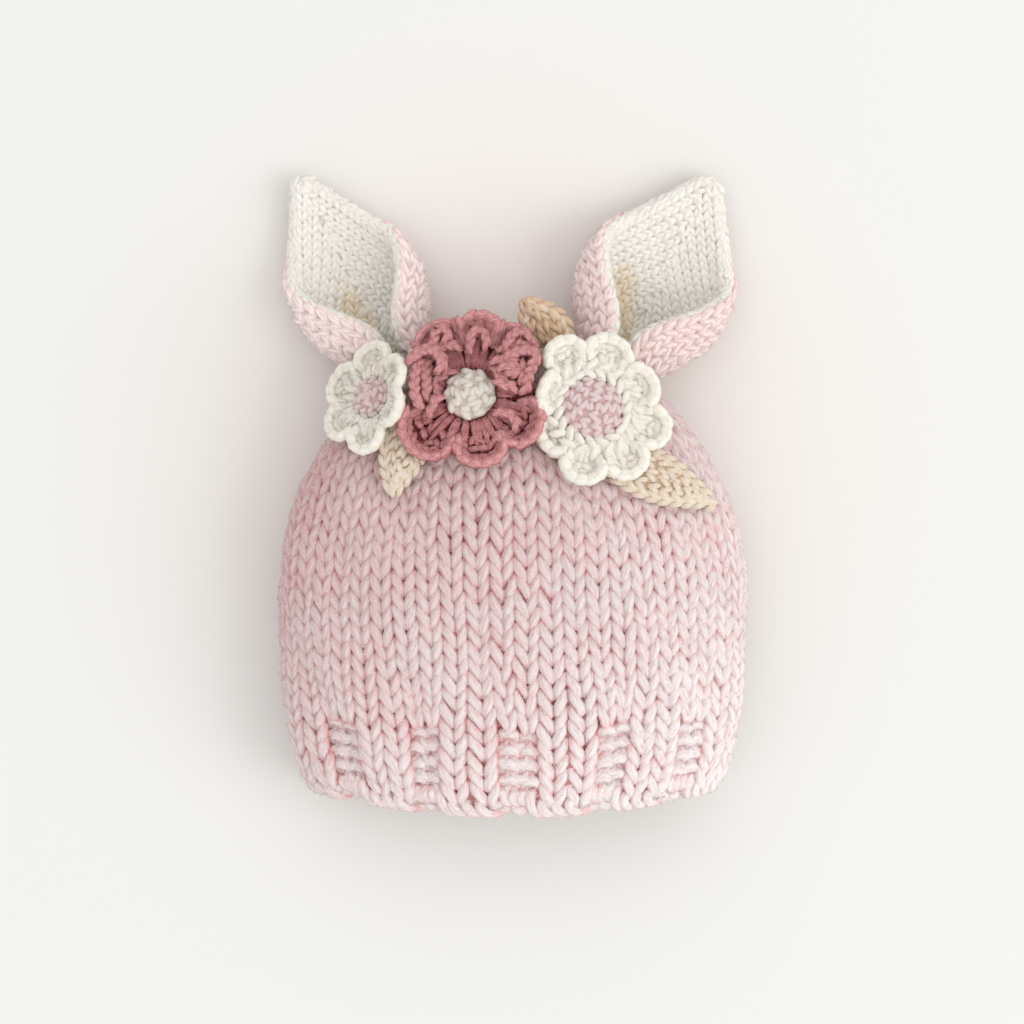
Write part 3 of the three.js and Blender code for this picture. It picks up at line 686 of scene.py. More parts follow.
def ear_shade_sheet(pile, ear, low, high, lift):
    """The inside of one layer of the ear, a thin closed sheet between two offsets of its middle; its lift
    colours it darker than the stitches on it, a painted shade.
    """
    s, t = np.meshgrid(np.linspace(0.14, 0.985, 44), np.linspace(0.025, 0.975, 40), indexing="ij")
    base, inward, _, _ = ear_frame(ear, s, t)
    sheet_grid(pile, base[:, ::-1] + inward[:, ::-1] * high, base[:, ::-1] + inward[:, ::-1] * low, lift)


# Flowers


def flower_frame(flower):
    """The flower's seat on the cap and its three directions: two along its plane and one out of it."""
    x, y = flower["x"] * CAP_WIDTH / 2, flower["y"] * CROWN_LENGTH
    span = flower["radius"] * 0.55
    slope_x = (cap_top(x + span, y) - cap_top(x - span, y)) / (2 * span)
    slope_y = FLOWER_TILT * (cap_top(x, y + span) - cap_top(x, y - span)) / (2 * span)
    out = unit(np.array([-slope_x, -slope_y, 1.0]))
    right = unit(np.array([1.0, 0.0, slope_x]))
    return np.array([x, y, cap_top(x, y)]), right, np.cross(out, right), out


def flower_point(flower, radius, angle, height):
    """A point at a radius, angle and height of the flower, lifted where the cap is higher than its plane."""
    seat, right, ahead, out = flower_frame(flower)
    foot = seat + (radius * np.cos(angle))[..., None] * right + (radius * np.sin(angle))[..., None] * ahead
    depth = cap_top(foot[..., 0], foot[..., 1]) + CLEARANCE - foot[..., 2]
    draped = (depth + np.hypot(depth, DRAPE_SOFTNESS)) / 2
    return foot + height[..., None] * out + draped[..., None] * UP


def petal_point(flower, key, x, share, inset=0.0):
    """A point of a petal's top.

    x is -1 and 1 in the notches beside it, and share is 0 at its foot and 1 at its rim. The outline bows
    out as (1 - |x|^2.2)^0.58, and the rim curls up with share^3.
    """
    petals = flower["petals"]
    angle, reach, lift, fold = petals[key]
    before = petals[key - 1][0] - (360 if key == 0 else 0)
    after = petals[(key + 1) % len(petals)][0] + (360 if key == len(petals) - 1 else 0)
    toward = np.where(x < 0, (before + angle) / 2, (after + angle) / 2)
    turn = np.radians(angle + (toward - angle) * np.abs(x))
    bow = np.maximum(1 - np.abs(x) ** 2.2, 0) ** 0.58
    size, hole = flower["radius"], flower["centre"] + CLEARANCE / 2
    notches = np.broadcast_to(flower["notch"], len(petals))
    notch = np.where(x < 0, notches[key - 1], notches[key])
    outer = size * notch + (size * (reach - notch) - inset) * bow
    radius = hole + (outer - hole) * share
    cup = PETAL_CUP * (share ** 3 + (lift + fold * x) * share * bow)
    height = flower["rise"] + FLOWER_THICKNESS - FLOWER_DROOP * (radius / size) ** 2 + cup
    return flower_point(flower, radius, turn, height)


def petal_frame(flower, key, x, share, inset=0.0):
    """A point of a petal's top and the directions round the flower, outward and out of the petal."""
    step = 2e-3
    x = np.clip(x, -1 + 2 * step, 1 - 2 * step)
    point = lambda dx, out: petal_point(flower, key, x + dx, share + out, inset)
    around = unit(point(step, 0) - point(-step, 0))
    outward = unit(point(0, step) - point(0, -step))
    up = unit(np.cross(outward, around))
    up = up * np.sign(up[..., 2:])
    return point(0, 0), around, outward, up


def petal_base(pile, flower, depth, lift):
    """The cloth under the stitches: one closed sheet round the whole flower, whose lift sets its painted
    shade.
    """
    x = np.linspace(-1, 1, 13)[:-1]
    share = np.linspace(0, 1, 9)
    grid = np.meshgrid(x * 0.999, share, indexing="ij")
    columns = [petal_point(flower, key, *grid, 1.6) for key in range(len(flower["petals"]))]
    top = np.concatenate(columns)
    out = flower_frame(flower)[3]
    sheet_grid(pile, top[::-1] - out * depth, top[::-1] - out * 3.2, lift, wrap_i=True)


def petal_rim(pile, flower, key, thick, pitch, slant):
    """The petal's edge: a chain of slanted legs that overlap, an outer and a lower inner one a stitch."""
    half_width = 0.5 * flower["radius"] * math.radians(360 / len(flower["petals"])) * 0.8
    turn = np.linspace(-0.5, 0.5, 81) * np.pi
    end = 1 - 0.6 * thick / half_width
    x = np.concatenate([np.full(12, -end), np.sin(turn) * end, np.full(12, end)])
    rise = np.linspace(0.6, 0.98, 12)
    share = np.concatenate([rise, np.ones(81), rise[::-1]])
    line, around, outward, up = petal_frame(flower, key, x, share, thick)
    walked = lengths_along(line)
    count = max(4, int(round(walked[-1] / pitch)))
    where = (np.arange(count) + 0.5) * walked[-1] / count
    at = lambda values: read_at(where, walked, values)
    middle, up = at(line), unit(at(up))
    ahead = unit(at(np.gradient(line, axis=0)))
    inside = unit(np.cross(ahead, up))
    inward = petal_point(flower, key, 0 * where, 0 * where + 0.5) - middle
    inside = inside * np.sign((inside * inward).sum(-1, keepdims=True))
    chance = lambda size: rng.normal(0, size, (count, 1))
    legs = ahead + slant * inside + chance(0.06) * inside
    grains(pile, middle - up * 0.2, legs, up, pitch * 1.75, thick, 0.25, 1.6)
    legs = ahead - 1.4 * slant * inside + chance(0.08) * inside
    grains(pile, middle + inside * thick * 1.25 - up * 0.55, legs, up, pitch * 1.6, thick * 0.8, 0.2, 0.6)


def petal_posts(pile, flower, key, thick, count, low=0.02, high=0.5):
    """The tall stitches of a petal: pairs of strands that fan out from its foot."""
    x = (np.arange(count) + 0.5) / count * 2 - 1
    for side in (-1, 1):
        at = x + side * 0.36 / count + rng.normal(0, 0.03, count)
        foot = petal_point(flower, key, at * 0.97, np.full(count, low))
        turned = at * 0.86 + rng.normal(0, 0.08, count)
        head = petal_point(flower, key, turned, high + rng.normal(0, 0.07, count))
        middle, _, _, up = petal_frame(flower, key, at * 0.93, np.full(count, (low + high) / 2))
        centre = (foot + head) / 2 - up * 0.3
        length = np.linalg.norm(head - foot, axis=1) * 1.1
        grains(pile, centre, head - foot, up, length, thick, 0.5, 0.3, steps=9)


def petal_fill(pile, flower, key, thick, rows, lift=0.5):
    """Rows of short bumps across a petal, the heads of its stitches.

    A row is its share of the way out and its tilt in radians, where 0 lies along the row.
    """
    for share, tilt in rows:
        across = np.linspace(-0.84, 0.84, 25)
        line = petal_point(flower, key, across, np.full(25, share))
        length = np.linalg.norm(np.diff(line, axis=0), axis=1).sum()
        count = max(2, int(round(length / (thick * (3.0 - 0.9 * math.sin(tilt))))))
        x = ((np.arange(count) + 0.5) / count * 2 - 1) * 0.84 + rng.normal(0, 0.03, count)
        middle, around, outward, up = petal_frame(flower, key, x, share + rng.normal(0, 0.02, count))
        turn = tilt * (1 - 2 * (np.arange(count) % 2)) + rng.normal(0, 0.22, count)
        legs = np.cos(turn)[:, None] * around + np.sin(turn)[:, None] * outward
        size = thick * (1 + rng.normal(0, 0.08, count))
        grains(pile, middle + up * rng.normal(-0.2, 0.25, (count, 1)), legs, up, thick * 3.3, size, 0.3, lift)


def rope(pile, flower, track, thick, height, pitch=3.3, slant=0.42):
    """A thick chain over a flower along a rounded track of places in millimetres from its middle."""
    track = np.array(track, float)
    for _ in range(3):
        early, late = 0.75 * track[:-1] + 0.25 * track[1:], 0.25 * track[:-1] + 0.75 * track[1:]
        track = np.concatenate([track[:1], np.stack([early, late], 1).reshape(-1, 2), track[-1:]])
    radius, angle = np.hypot(track[:, 0], track[:, 1]), np.arctan2(track[:, 1], track[:, 0])
    plane = flower["rise"] + FLOWER_THICKNESS - FLOWER_DROOP * (radius / flower["radius"]) ** 2
    line = flower_point(flower, radius, angle, plane + height)
    walked = lengths_along(line)
    count = max(2, int(round(walked[-1] / pitch)))
    where = (np.arange(count) + 0.5) * walked[-1] / count
    at = lambda values: read_at(where, walked, values)
    middle, ahead = at(line), unit(at(np.gradient(line, axis=0)))
    up = flower_frame(flower)[3] * np.ones((count, 1))
    inside = np.cross(ahead, up)
    for hand in (-1, 1):
        legs = ahead + (hand * slant + rng.normal(0, 0.07, (count, 1))) * inside
        spots = middle + inside * hand * thick * 0.35 + ahead * hand * pitch * 0.25
        grains(pile, spots, legs, up, pitch * 1.6, thick * 0.84, 0.2, 1.2)


def flower_ring(pile, flower, radius, height, count, length, thick, slant, lift, phase=0.0, wild=0.2):
    """A ring of short slanted bumps round the flower's middle."""
    angle = (np.arange(count) + phase) * 2 * np.pi / count + rng.normal(0, 0.25 / count, count)
    angle = angle % (2 * np.pi)
    height = np.broadcast_to(height, angle.shape)
    spread = lambda r, a: flower_point(flower, np.broadcast_to(r, a.shape), a, height)
    middle = spread(radius, angle)
    around = unit(spread(radius, angle + 0.02) - middle)
    outward = unit(spread(radius + 0.5, angle) - middle)
    up = flower_frame(flower)[3] * np.ones((count, 1))
    legs = around + (slant + rng.normal(0, wild, count))[:, None] * outward
    grains(pile, middle, legs, up, length, thick, 0.3, lift)


def flower_centre(pile, flower, thick, rings):
    """The button in the middle: rings of V-shaped stitches on a low dome over a smooth round body."""
    radius = flower["centre"]
    seat = flower["rise"] + FLOWER_THICKNESS
    dome = lambda r: seat + CENTRE_RISE * (1 - 0.75 * (r / radius) ** 2.4) - thick * 0.9
    around = np.arange(40) * 2 * np.pi / 40
    reach = np.concatenate([[0.01], np.linspace(0.12, 0.96, 10)]) * radius
    r, a = np.meshgrid(reach, around, indexing="ij")
    # The round body takes a low lift, painted shade under the rings of stitches.
    top = flower_point(flower, r, a, dome(r) + thick * 0.45)
    under = flower_point(flower, r, a, 0 * r + 1.0)
    sheet_grid(pile, top, under, 0.1, wrap_j=True)
    for share, count in rings:
        for side, slant in ((-0.62, -0.5), (0.62, 0.5)):
            r = share * radius + side * thick
            size = 2 * np.pi * r / count * 0.86 + 0.5 * thick
            flower_ring(pile, flower, r, dome(r) + 0.25, count, size, thick, slant, 0.7, phase=3.3 * share)
    flower_ring(pile, flower, radius * 0.1, dome(0) + 0.3, 2, thick * 2.8, thick, 0.3, 0.8)


# Leaves


def leaf_point(leaf, s, t):
    """A point of a leaf's middle: a pointed oval with a raised fold along its middle, laid over the cap."""
    foot = np.array([leaf["foot"][0] * CAP_WIDTH / 2, leaf["foot"][1] * CROWN_LENGTH])
    tip = np.array([leaf["tip"][0] * CAP_WIDTH / 2, leaf["tip"][1] * CROWN_LENGTH])
    axis = unit(tip - foot)
    side = 2 * t - 1
    oval = np.sin(np.pi * np.clip(s, 0, 1) ** 0.82) ** (0.7 + 0.55 * np.clip(s, 0, 1))
    width = leaf["width"] * LEAF_WIDTH / 2 * (0.1 - 0.06 * s + 0.94 * oval)
    place = foot + s[..., None] * (tip - foot) + (width * side)[..., None] * np.array([axis[1], -axis[0]])
    ground = EDGE_HEIGHT if leaf["free"] else cap_top(place[..., 0], place[..., 1])
    ridge = LEAF_RIDGE * (1 - np.abs(side)) * np.sin(np.pi * s)
    return np.concatenate([place, (ground + leaf["over"] + LEAF_THICKNESS / 2 + ridge)[..., None]], -1)


def leaf_piece(pile, leaf, thick=1.15, pitch=4.4):
    """A crocheted leaf: V-shaped stitches in lines along it, a chain round its edge, and cloth beneath."""
    s, t = np.meshgrid(np.linspace(0.02, 0.98, 24), np.linspace(0.06, 0.94, 14), indexing="ij")
    middle = leaf_point(leaf, s, t)
    # The cloth beneath takes a lower lift than the stitches, painted shade under them.
    sheet_grid(pile, middle[:, ::-1] + UP * 0.9, middle[:, ::-1] - UP * 1.2, leaf["shade"] - 0.1)
    foot, tip = leaf_point(leaf, np.array([0.0, 1.0]), np.array([0.5, 0.5]))
    count = int(np.linalg.norm(tip - foot) / pitch)
    up = UP * np.ones((count, 1))
    for line in (0.26, 0.5, 0.74):
        for side in (-1, 1):
            at = line + side * 0.055 + rng.normal(0, 0.015, count)
            place = (np.arange(count) + 0.5 + 0.5 * (line == 0.5)) / count + rng.normal(0, 0.012, count)
            rise = 0.75 + rng.normal(0, 0.15, (count, 1))
            centre = leaf_point(leaf, np.clip(place, 0.01, 0.99), at) + UP * rise
            along = unit(leaf_point(leaf, place + 0.01, at) - leaf_point(leaf, place - 0.01, at))
            across = unit(leaf_point(leaf, place, at + 0.01) - leaf_point(leaf, place, at - 0.01))
            legs = along + (0.42 * side + rng.normal(0, 0.16, (count, 1))) * across
            grains(pile, centre, legs, up, pitch * 1.2, thick, 0.35, leaf["shade"] + 0.5)
    s_up = np.linspace(0.0, 1, 60)
    line = leaf_point(leaf, np.concatenate([s_up, s_up[::-1]]), np.repeat([0.09, 0.91], 60))
    walked = lengths_along(line)
    count = int(walked[-1] / pitch)
    where = (np.arange(count) + 0.5) * walked[-1] / count
    centre = read_at(where, walked, line)
    ahead = unit(read_at(where, walked, np.gradient(line, axis=0)))
    up = UP * np.ones((count, 1))
    inside = unit(np.cross(ahead, up))
    outer, inner = centre + UP * 0.35, centre + UP * 0.5 - inside * 1.7
    grains(pile, outer, ahead + 0.24 * inside, up, pitch * 1.6, thick * 1.3, 0.2, leaf["shade"] + 1.3)
    grains(pile, inner, ahead - 0.3 * inside, up, pitch * 1.3, thick, 0.2, leaf["shade"] + 0.7)


# Materials


def socket(group, name, direction, kind, value=None):
    """Adds a named socket to a node group."""
    made = group.interface.new_socket(name=name, in_out=direction, socket_type=kind)
    if value is not None:
        made.default_value = value


def wire(tree, *links):
    """Links pairs of sockets."""
    for source, target in links:
        tree.links.new(source, target)


def add_node(tree, kind, **values):
    """A shader node of a kind, with values for its inputs."""
    node = tree.nodes.new("ShaderNode" + kind)
    for name, value in values.items():
        node.inputs[name].default_value = value
    return node


def math_node(tree, operation, a, b=None):
    """A Math node of one operation, whose inputs are sockets or numbers."""
    node = tree.nodes.new("ShaderNodeMath")
    node.operation = operation
    for place, value in enumerate((a, b)):
        if value is None:
            continue
        if isinstance(value, (int, float)):
            node.inputs[place].default_value = value
        else:
            tree.links.new(value, node.inputs[place])
    return node.outputs[0]


def yarn_group():
    """Twisted yarn: plies that wind round the yarn, with fine fibres that follow them.

    The phase is plies * around + along / twist. A ply's height is sqrt(1 - x^2), with x from -1 to 1 across
    it, and the fibres are noise drawn out along the yarn. The second output paints shade in the grooves
    between the plies and adds the fibres' own tone.
    """
    group = bpy.data.node_groups.new("Twisted yarn", "ShaderNodeTree")
    socket(group, "Plies", "INPUT", "NodeSocketFloat", 3.0)
    socket(group, "Twist", "INPUT", "NodeSocketFloat", 2.0)
    socket(group, "Height", "OUTPUT", "NodeSocketFloat")
    socket(group, "Painted ply shade and fibres", "OUTPUT", "NodeSocketFloat")
    given, result = group.nodes.new("NodeGroupInput"), group.nodes.new("NodeGroupOutput")
    place, parts = add_node(group, "UVMap"), add_node(group, "SeparateXYZ")
    place.uv_map = "yarn"
    wire(group, (place.outputs["UV"], parts.inputs[0]))
    along, around = parts.outputs["X"], parts.outputs["Y"]
    work = lambda operation, a, b=None: math_node(group, operation, a, b)
    turns = work("DIVIDE", along, given.outputs["Twist"])
    phase = work("ADD", work("MULTIPLY", around, given.outputs["Plies"]), turns)

    def drawn_noise(along_share, phase_share, **settings):
        """Noise drawn out along the yarn, by its shares of the length and of the phase."""
        spot, noise = add_node(group, "CombineXYZ"), add_node(group, "TexNoise", **settings)
        wire(group, (work("MULTIPLY", along, along_share), spot.inputs[0]))
        wire(group, (work("MULTIPLY", phase, phase_share), spot.inputs[1]))
        wire(group, (spot.outputs[0], noise.inputs["Vector"]))
        return noise.outputs[0]

    across = work("SUBTRACT", work("MULTIPLY", work("FRACT", phase), 2.0), 1.0)
    bulge = work("SQRT", work("SUBTRACT", 1.0, work("MULTIPLY", across, across)))
    fibres = drawn_noise(1.6, 2.2, Scale=2.2, Detail=4.0, Roughness=0.65)
    streaks = drawn_noise(5.0, 3.0, Scale=1.0, Detail=3.0, Roughness=0.7)
    grain = work("MULTIPLY", work("SUBTRACT", streaks, 0.5), 1.5)
    height = work("ADD", work("MULTIPLY", bulge, 0.75), work("ADD", work("MULTIPLY", fibres, 1.6), grain))
    # Painted shade in the grooves between the plies, with the fibres' own tone.
    shade = work("ADD", work("ADD", work("MULTIPLY", bulge, 0.2), fibres), grain)
    wire(group, (height, result.inputs["Height"]), (shade, result.inputs["Painted ply shade and fibres"]))
    return group


YARN_GROUP = yarn_group()


def yarn_material(
    name, light, shade_colour, plies=3.0, twist=1.9, low=-2.0, high=2.2, bump=0.6, sheen=0.12, drift=(0, 0, 0),
):
    """Soft wool with painted shade: the second colour low in the cloth and the gaps, the light one on top,
    and twisted plies in colour and relief, their colour a painted shade in the grooves between them.

    The whole colour also grows by the drift's share for each metre along the hat's own directions: a painted
    gradient of light and shade across the hat, as if the light came from one side.
    """
    made = bpy.data.materials.new(name)
    made.use_nodes = True
    tree = made.node_tree
    nodes = tree.nodes
    surface = nodes["Principled BSDF"]
    yarn = nodes.new("ShaderNodeGroup")
    yarn.node_tree = YARN_GROUP
    yarn.inputs["Plies"].default_value = plies
    yarn.inputs["Twist"].default_value = twist
    lift = nodes.new("ShaderNodeAttribute")
    lift.attribute_name = "lift"
    range_node = nodes.new("ShaderNodeMapRange")
    range_node.interpolation_type = "SMOOTHSTEP"
    range_node.inputs["From Min"].default_value = low
    range_node.inputs["From Max"].default_value = high
    wire(tree, (lift.outputs["Fac"], range_node.inputs["Value"]))
    # Painted shade: low in the cloth, where shade falls between the yarns, the colour turns to the second
    # one.
    colour = nodes.new("ShaderNodeMix")
    colour.data_type = "RGBA"
    colour.inputs["A"].default_value = (*shade_colour, 1)
    colour.inputs["B"].default_value = (*light, 1)
    place = nodes.new("ShaderNodeTexCoord")
    patches = add_node(tree, "TexNoise", Scale=55.0, Detail=3.0)
    wire(tree, (place.outputs["Object"], patches.inputs["Vector"]))
    work = lambda operation, a, b: math_node(tree, operation, a, b)
    mixed = work("MULTIPLY", range_node.outputs[0], 0.84)
    mixed = work("ADD", mixed, work("SUBTRACT", yarn.outputs["Painted ply shade and fibres"], 0.74))
    mixed = work("ADD", mixed, work("MULTIPLY", work("SUBTRACT", patches.outputs[0], 0.5), 0.35))
    # Painted light and shade: the drift scales the colour along a straight gradient across the hat.
    slope, painted_shade_scale = nodes.new("ShaderNodeVectorMath"), nodes.new("ShaderNodeVectorMath")
    slope.operation, painted_shade_scale.operation = "DOT_PRODUCT", "SCALE"
    slope.inputs[1].default_value = drift
    mixed = work("ADD", mixed, work("MULTIPLY", slope.outputs["Value"], 1.4))
    wire(
        tree, (place.outputs["Object"], slope.inputs[0]), (colour.outputs["Result"], painted_shade_scale.inputs[0]),
        (work("ADD", slope.outputs["Value"], 1.0), painted_shade_scale.inputs["Scale"]),
    )
    clamped = nodes.new("ShaderNodeClamp")
    relief = nodes.new("ShaderNodeBump")
    relief.inputs["Strength"].default_value = bump
    relief.inputs["Distance"].default_value = 0.0007
    wire(
        tree, (mixed, clamped.inputs[0]), (clamped.outputs[0], colour.inputs["Factor"]),
        (painted_shade_scale.outputs[0], surface.inputs["Base Color"]), (yarn.outputs["Height"], relief.inputs["Height"]),
        (relief.outputs["Normal"], surface.inputs["Normal"]),
    )
    surface.inputs["Roughness"].default_value = 0.92
    surface.inputs["Specular IOR Level"].default_value = 0.2
    surface.inputs["Sheen Weight"].default_value = sheen
    surface.inputs["Sheen Roughness"].default_value = 0.55
    surface.inputs["Sheen Tint"].default_value = (*light, 1)
    return made


# The drift paints shade on the cap's left side and towards its crown, and light towards its right and brim.
PINK = yarn_material(
    "pink_wool", (0.76, 0.712, 0.71), (0.765, 0.36, 0.355),
    plies=5.0, twist=2.6, low=0.25, high=3.15, bump=0.75, drift=(1.1, -1.8, 0),
)
# The drift paints light on the ears' left side and shade on their right.
PINK_EAR = yarn_material(
    "pink_ear_wool", (0.94, 0.855, 0.835), (0.86, 0.49, 0.475),
    plies=5.0, twist=2.6, low=-0.3, high=2.25, drift=(-0.6, 0, 0),
)
# A darker pink for the sheet in the cap's gaps, painted shade.
PINK_PAINTED_SHADE = yarn_material("pink_wool_painted_shade", (0.60, 0.29, 0.28), (0.50, 0.23, 0.22))
# A paler copy of the pink wool for the loose fibres, painted light that makes them a pale halo.
PINK_FIBRE = yarn_material("pink_loose_wool", (0.86, 0.78, 0.775), (0.86, 0.74, 0.735), sheen=0.5)
CREAM = yarn_material(
    "cream_wool", (0.895, 0.90, 0.885), (0.86, 0.73, 0.53),
    plies=4.0, twist=2.0, low=-1.7, high=0.9, sheen=0.4,
)
PETAL = yarn_material(
    "cream_cotton", (0.79, 0.785, 0.745), (0.90, 0.79, 0.60),
    plies=4.0, twist=2.0, low=-1.2, high=1.5, sheen=0.3,
)
BUTTON = yarn_material(
    "ivory_cotton", (0.67, 0.645, 0.605), (0.76, 0.64, 0.52), low=-0.8, high=1.4, sheen=0.3,
)
BLUSH = yarn_material("blush_cotton", (0.70, 0.62, 0.62), (0.70, 0.43, 0.43), low=-0.9, high=1.8, sheen=0.25)
ROSE = yarn_material("rose_cotton", (0.76, 0.39, 0.392), (0.35, 0.075, 0.08), low=-0.2, high=2.8, bump=0.9)
BEIGE = yarn_material("beige_cotton", (0.75, 0.685, 0.58), (0.64, 0.45, 0.30), low=-0.4, high=1.7, sheen=0.25)

# Pieces

CROWN_ROW = 14
# Stretches of the cap: name, first row, the row after the last, and the solids that it stands for
CAP_PARTS = (
    ("cap_brim_knitting", 0, RIB_ROWS + 1, ["knit_cap"]),
    ("cap_body_knitting", RIB_ROWS + 1, CROWN_ROW, []),
    ("cap_crown_knitting", CROWN_ROW, int(LAST_ROW), []),
)
CAP_PILES = []
for name, first, after, nodes in CAP_PARTS:
    knitting = Pile()
    CAP_PILES.append(knitting)
    for row in range(first, after):
        cap_row(knitting, row)
    if first == 0:
        cap_cast_on(knitting)
    knitting.piece(name, PINK, "pink_yarn", nodes)

# The sheet in the cap's gaps, painted shade between the yarns.
shade_sheet = Pile()
cap_shade_sheet(shade_sheet)
shade_sheet.piece("cap_painted_shade_sheet", PINK_PAINTED_SHADE, "pink_yarn")

BACK_PILES, LINING_PILES, PETAL_PILES, ROSE_PILES = [], [], [], []
for hand, ear in EARS.items():
    back, lining = Pile(), Pile()
    BACK_PILES.append(back)
    LINING_PILES.append(lining)
    ear_layer(back, ear, -1, edge=1.2, width=5.0, pitch=4.7, thick=1.66, lift=1.0)
    ear_shade_sheet(back, ear, -2.2, -0.2, 1.0)
    back.piece(f"{hand}_ear_back_knitting", PINK_EAR, "pink_yarn", [f"{hand}_ear_back"])
    ear_layer(lining, ear, 1, edge=1.4, width=4.3, pitch=3.25, thick=1.27, lift=0.4)
    ear_shade_sheet(lining, ear, 0.2, 2.1, 0.3)
    ear_rim(lining, ear)
    lining.piece(f"{hand}_ear_lining_knitting", CREAM, "cream_yarn", [f"{hand}_ear_lining"])

# Stitches of each flower: half thickness of the rim, the posts and the fill, the rim's pitch and slant, the
# number of pairs of posts, and the depth of the cloth beneath and its lift, which sets its painted shade
STYLES = {
    "rose": dict(rim=1.75, pitch=4.1, slant=0.24, post=1.1, posts=4, fill=1.3, base=1.7, base_lift=-0.7),
    "large": dict(rim=2.3, pitch=4.0, slant=0.12, post=1.7, posts=4, fill=1.6, base=-0.35, base_lift=0.9),
    "small": dict(rim=2.0, pitch=4.0, slant=0.12, post=1.5, posts=3, fill=1.45, base=-0.3, base_lift=0.9),
}
# Rows of bumps across a petal: share of the way out and tilt in radians
ROWS = ((0.42, 1.0), (0.6, 0.6), (0.77, 0.35))

# Ruffles of the rose: half thickness, height over its plane, and places in millimetres from its middle
RUFFLES = (
    (1.75, 5.2, [(-16.5, -5.3), (-19.0, -2.1), (-19.3, 3.2), (-19.0, 7.7), (-17.9, 11.2)]),
    (1.47, 4.6, [(-14.7, -2.1), (-15.1, 2.8), (-15.4, 7.4), (-15.4, 10.5)]),
    (1.75, 7.4, [(-20.7, 10.5), (-18.3, 13.7), (-14.4, 15.1), (-10.9, 13.3), (-9.1, 9.8), (-9.8, 6.7)]),
    (1.26, 3.6, [(-12.3, 3.5), (-9.5, 6.0), (-5.6, 8.1)]),
    (1.33, 3.0, [(-13.0, 2.8), (-11.2, 0.0), (-12.3, -3.5)]),
    (1.54, 4.4, [(-13.3, -8.4), (-13.0, -4.9), (-10.5, -1.8)]),
    (1.61, 6.4, [(13.3, 11.9), (16.8, 14.4), (21.4, 14.7), (23.9, 12.6), (22.5, 9.5)]),
    (1.54, 5.6, [(8.8, 10.2), (12.6, 11.6), (16.8, 9.8)]),
    (1.54, 6.2, [(11.2, 7.7), (14.4, 8.8), (16.8, 7.0), (14.4, 5.3)]),
    (1.4, 4.8, [(8.8, 7.7), (10.9, 4.9), (13.7, 3.9)]),
    (1.61, 5.2, [(9.5, 2.8), (13.0, 2.1), (16.8, 1.1)]),
    (1.54, 6.0, [(22.8, 9.8), (21.1, 6.0), (20.4, 2.1), (19.7, -0.7)]),
    (1.4, 5.2, [(18.6, 10.5), (17.5, 7.0), (19.0, 3.2)]),
    (1.54, 3.8, [(9.8, -8.1), (13.3, -7.4), (16.1, -9.5), (17.2, -12.6)]),
    (1.47, 6.2, [(-13.0, 15.4), (-12.6, 20.7), (-10.2, 23.5), (-7.7, 21.1), (-8.4, 17.9)]),
    (1.54, 5.0, [(-13.0, 15.4), (-8.8, 16.8), (-4.2, 16.5)]),
    (1.4, 6.0, [(0.4, 14.7), (0.0, 19.7), (2.5, 22.5), (5.3, 20.7), (6.3, 16.1)]),
    (1.47, 6.4, [(13.0, 15.4), (14.4, 19.7), (17.5, 22.1), (21.1, 20.0)]),
    (1.54, 5.2, [(10.9, 14.7), (14.7, 15.4), (19.0, 17.9)]),
)
# Buttons: half thickness of the yarn, and each ring's share of the radius and number of stitches
RINGS = {
    "rose": (1.5, ((0.36, 4), (0.74, 9))),
    "large": (1.2, ((0.29, 4), (0.58, 9), (0.86, 14))),
    "small": (1.1, ((0.36, 4), (0.86, 11))),
}
# Material and slot of each flower's petals and of its button
YARNS = {
    "rose": (ROSE, "rose_yarn", BUTTON, "cream_yarn"),
    "large": (PETAL, "cream_yarn", BLUSH, "blush_yarn"),
    "small": (PETAL, "cream_yarn", BLUSH, "blush_yarn"),
}
for name, flower in FLOWERS.items():
    style = STYLES[name]
    petal_yarn, petal_slot, button_yarn, button_slot = YARNS[name]
    petals, centre = Pile(), Pile()
    (ROSE_PILES if name == "rose" else PETAL_PILES).append(petals)
    petal_base(petals, flower, style["base"], style["base_lift"])
    for key in range(len(flower["petals"])):
        petal_posts(petals, flower, key, style["post"], style["posts"])
        petal_fill(petals, flower, key, style["fill"], ROWS)
        if name != "rose" or key not in (0, 4):
            petal_rim(petals, flower, key, style["rim"], style["pitch"], style["slant"])
    if name == "rose":
        for thick, height, track in RUFFLES:
            rope(petals, flower, track, thick, height)
    if name == "large":
        flower_ring(petals, flower, 12.5, FLOWER_THICKNESS + 0.5, 19, 6.4, 1.6, 0.5, 1.1, wild=0.35)
        flower_ring(petals, flower, 15.8, FLOWER_THICKNESS + 0.3, 20, 7.0, 1.65, -1.1, 1.1, wild=0.5)
    petals.piece(f"{name}_flower_stitches", petal_yarn, petal_slot, [f"{name}_flower_petals"])
    thick, rings = RINGS[name]
    flower_centre(centre, flower, thick, rings)
    centre.piece(f"{name}_flower_button", button_yarn, button_slot, [f"{name}_flower_centre"])

for name, leaf in LEAVES.items():
    cloth = Pile()
    leaf_piece(cloth, leaf)
    cloth.piece(f"{name}_stitches", BEIGE, "beige_yarn", [name])

# Loose fibres: material, slot, the yarns that carry them, how many, and their length and half thickness
FIBRES = {
    "cap_loose_fibres": (PINK_FIBRE, "pink_yarn", CAP_PILES, 42000, 2.9, 0.115),
    "ear_back_loose_fibres": (PINK_FIBRE, "pink_yarn", BACK_PILES, 6000, 2.7, 0.105),
    "ear_lining_loose_fibres": (CREAM, "cream_yarn", LINING_PILES, 6000, 2.2, 0.1),
    "cream_flower_loose_fibres": (PETAL, "cream_yarn", PETAL_PILES, 5000, 2.4, 0.11),
    "rose_flower_loose_fibres": (ROSE, "rose_yarn", ROSE_PILES, 5000, 2.2, 0.11),
}
for name, (material, slot, sources, count, length, thick) in FIBRES.items():
    fibres = Pile()
    for source in sources:
        fuzz(fibres, source, count // len(sources), length, thick)
    fibres.piece(name, material, slot)

# Floor, light and camera

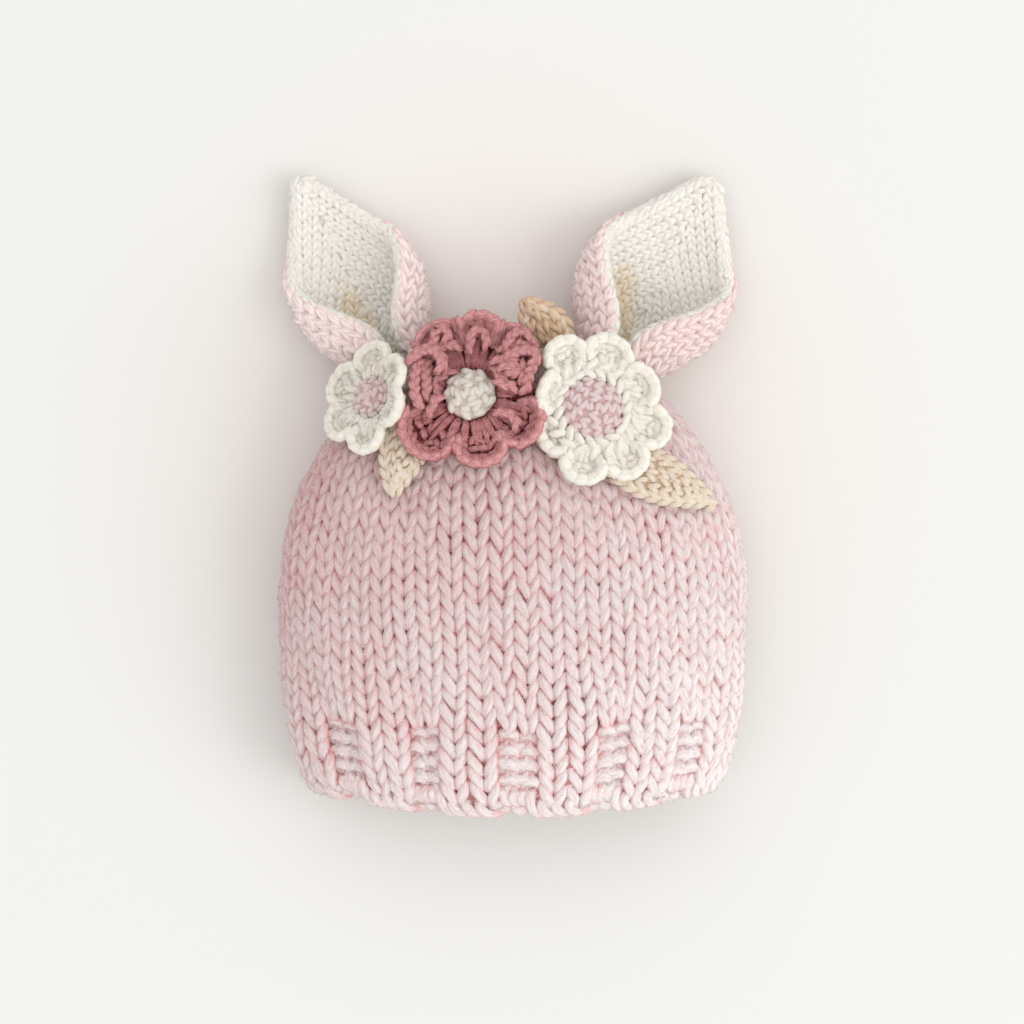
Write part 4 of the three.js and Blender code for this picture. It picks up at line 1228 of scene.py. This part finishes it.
floor_mesh = bpy.data.meshes.new("floor")
floor_mesh.from_pydata([(-4, -4, 0), (4, -4, 0), (4, 4, 0), (-4, 4, 0)], [], [(0, 1, 2, 3)])
floor = bpy.data.objects.new("floor", floor_mesh)
bpy.context.scene.collection.objects.link(floor)
floor_material = bpy.data.materials.new("pale_paper")
floor_material.use_nodes = True
floor_tree = floor_material.node_tree
paper = floor_tree.nodes["Principled BSDF"]
paper.inputs["Roughness"].default_value = 0.9
paper.inputs["Specular IOR Level"].default_value = 0.1
# Painted bounce light: the paper is warmer and a little lighter near the hat, as if lit by light thrown back
# from the pink wool.
floor_place, away = floor_tree.nodes.new("ShaderNodeTexCoord"), floor_tree.nodes.new("ShaderNodeVectorMath")
away.operation = "DISTANCE"
away.inputs[1].default_value = (0.0, 0.06, 0.0)
near, painted_bounce = floor_tree.nodes.new("ShaderNodeMapRange"), floor_tree.nodes.new("ShaderNodeMix")
near.interpolation_type = "SMOOTHSTEP"
near.inputs["From Min"].default_value = 0.03
near.inputs["From Max"].default_value = 0.17
painted_bounce.data_type = "RGBA"
painted_bounce.inputs["A"].default_value = (0.755, 0.705, 0.68, 1)
painted_bounce.inputs["B"].default_value = (0.692, 0.70, 0.68, 1)
wire(
    floor_tree,
    (floor_place.outputs["Object"], away.inputs[0]), (away.outputs["Value"], near.inputs["Value"]),
    (near.outputs[0], painted_bounce.inputs["Factor"]), (painted_bounce.outputs["Result"], paper.inputs["Base Color"]),
)
floor_mesh.materials.append(floor_material)

scene = bpy.context.scene
world = bpy.data.worlds.new("studio")
world.use_nodes = True
world.node_tree.nodes["Background"].inputs["Color"].default_value = (1.0, 0.975, 0.965, 1)
world.node_tree.nodes["Background"].inputs["Strength"].default_value = 1.13
scene.world = world
scene.view_settings.view_transform = "Standard"


def area_light(name, place, aim, size, power, colour):
    """A square soft light at a place, turned towards a point."""
    lamp = bpy.data.lights.new(name, "AREA")
    lamp.size = size
    lamp.energy = power
    lamp.color = colour
    made = bpy.data.objects.new(name, lamp)
    made.location = place
    made.rotation_euler = (Vector(aim) - Vector(place)).to_track_quat("-Z", "Y").to_euler()
    scene.collection.objects.link(made)


area_light("window", (3.0, -0.9, 2.3), (0, 0.02, 0), 2.8, 61.0, (0.98, 1.0, 0.98))

CAMERA_HEIGHT = 0.925
lens = bpy.data.cameras.new("camera")
lens.lens = 87.64
lens.sensor_width = 36.0
lens.clip_end = 20.0
camera = bpy.data.objects.new("camera", lens)
camera.location = (-0.00036, 0.0318, CAMERA_HEIGHT)
scene.collection.objects.link(camera)
scene.camera = camera
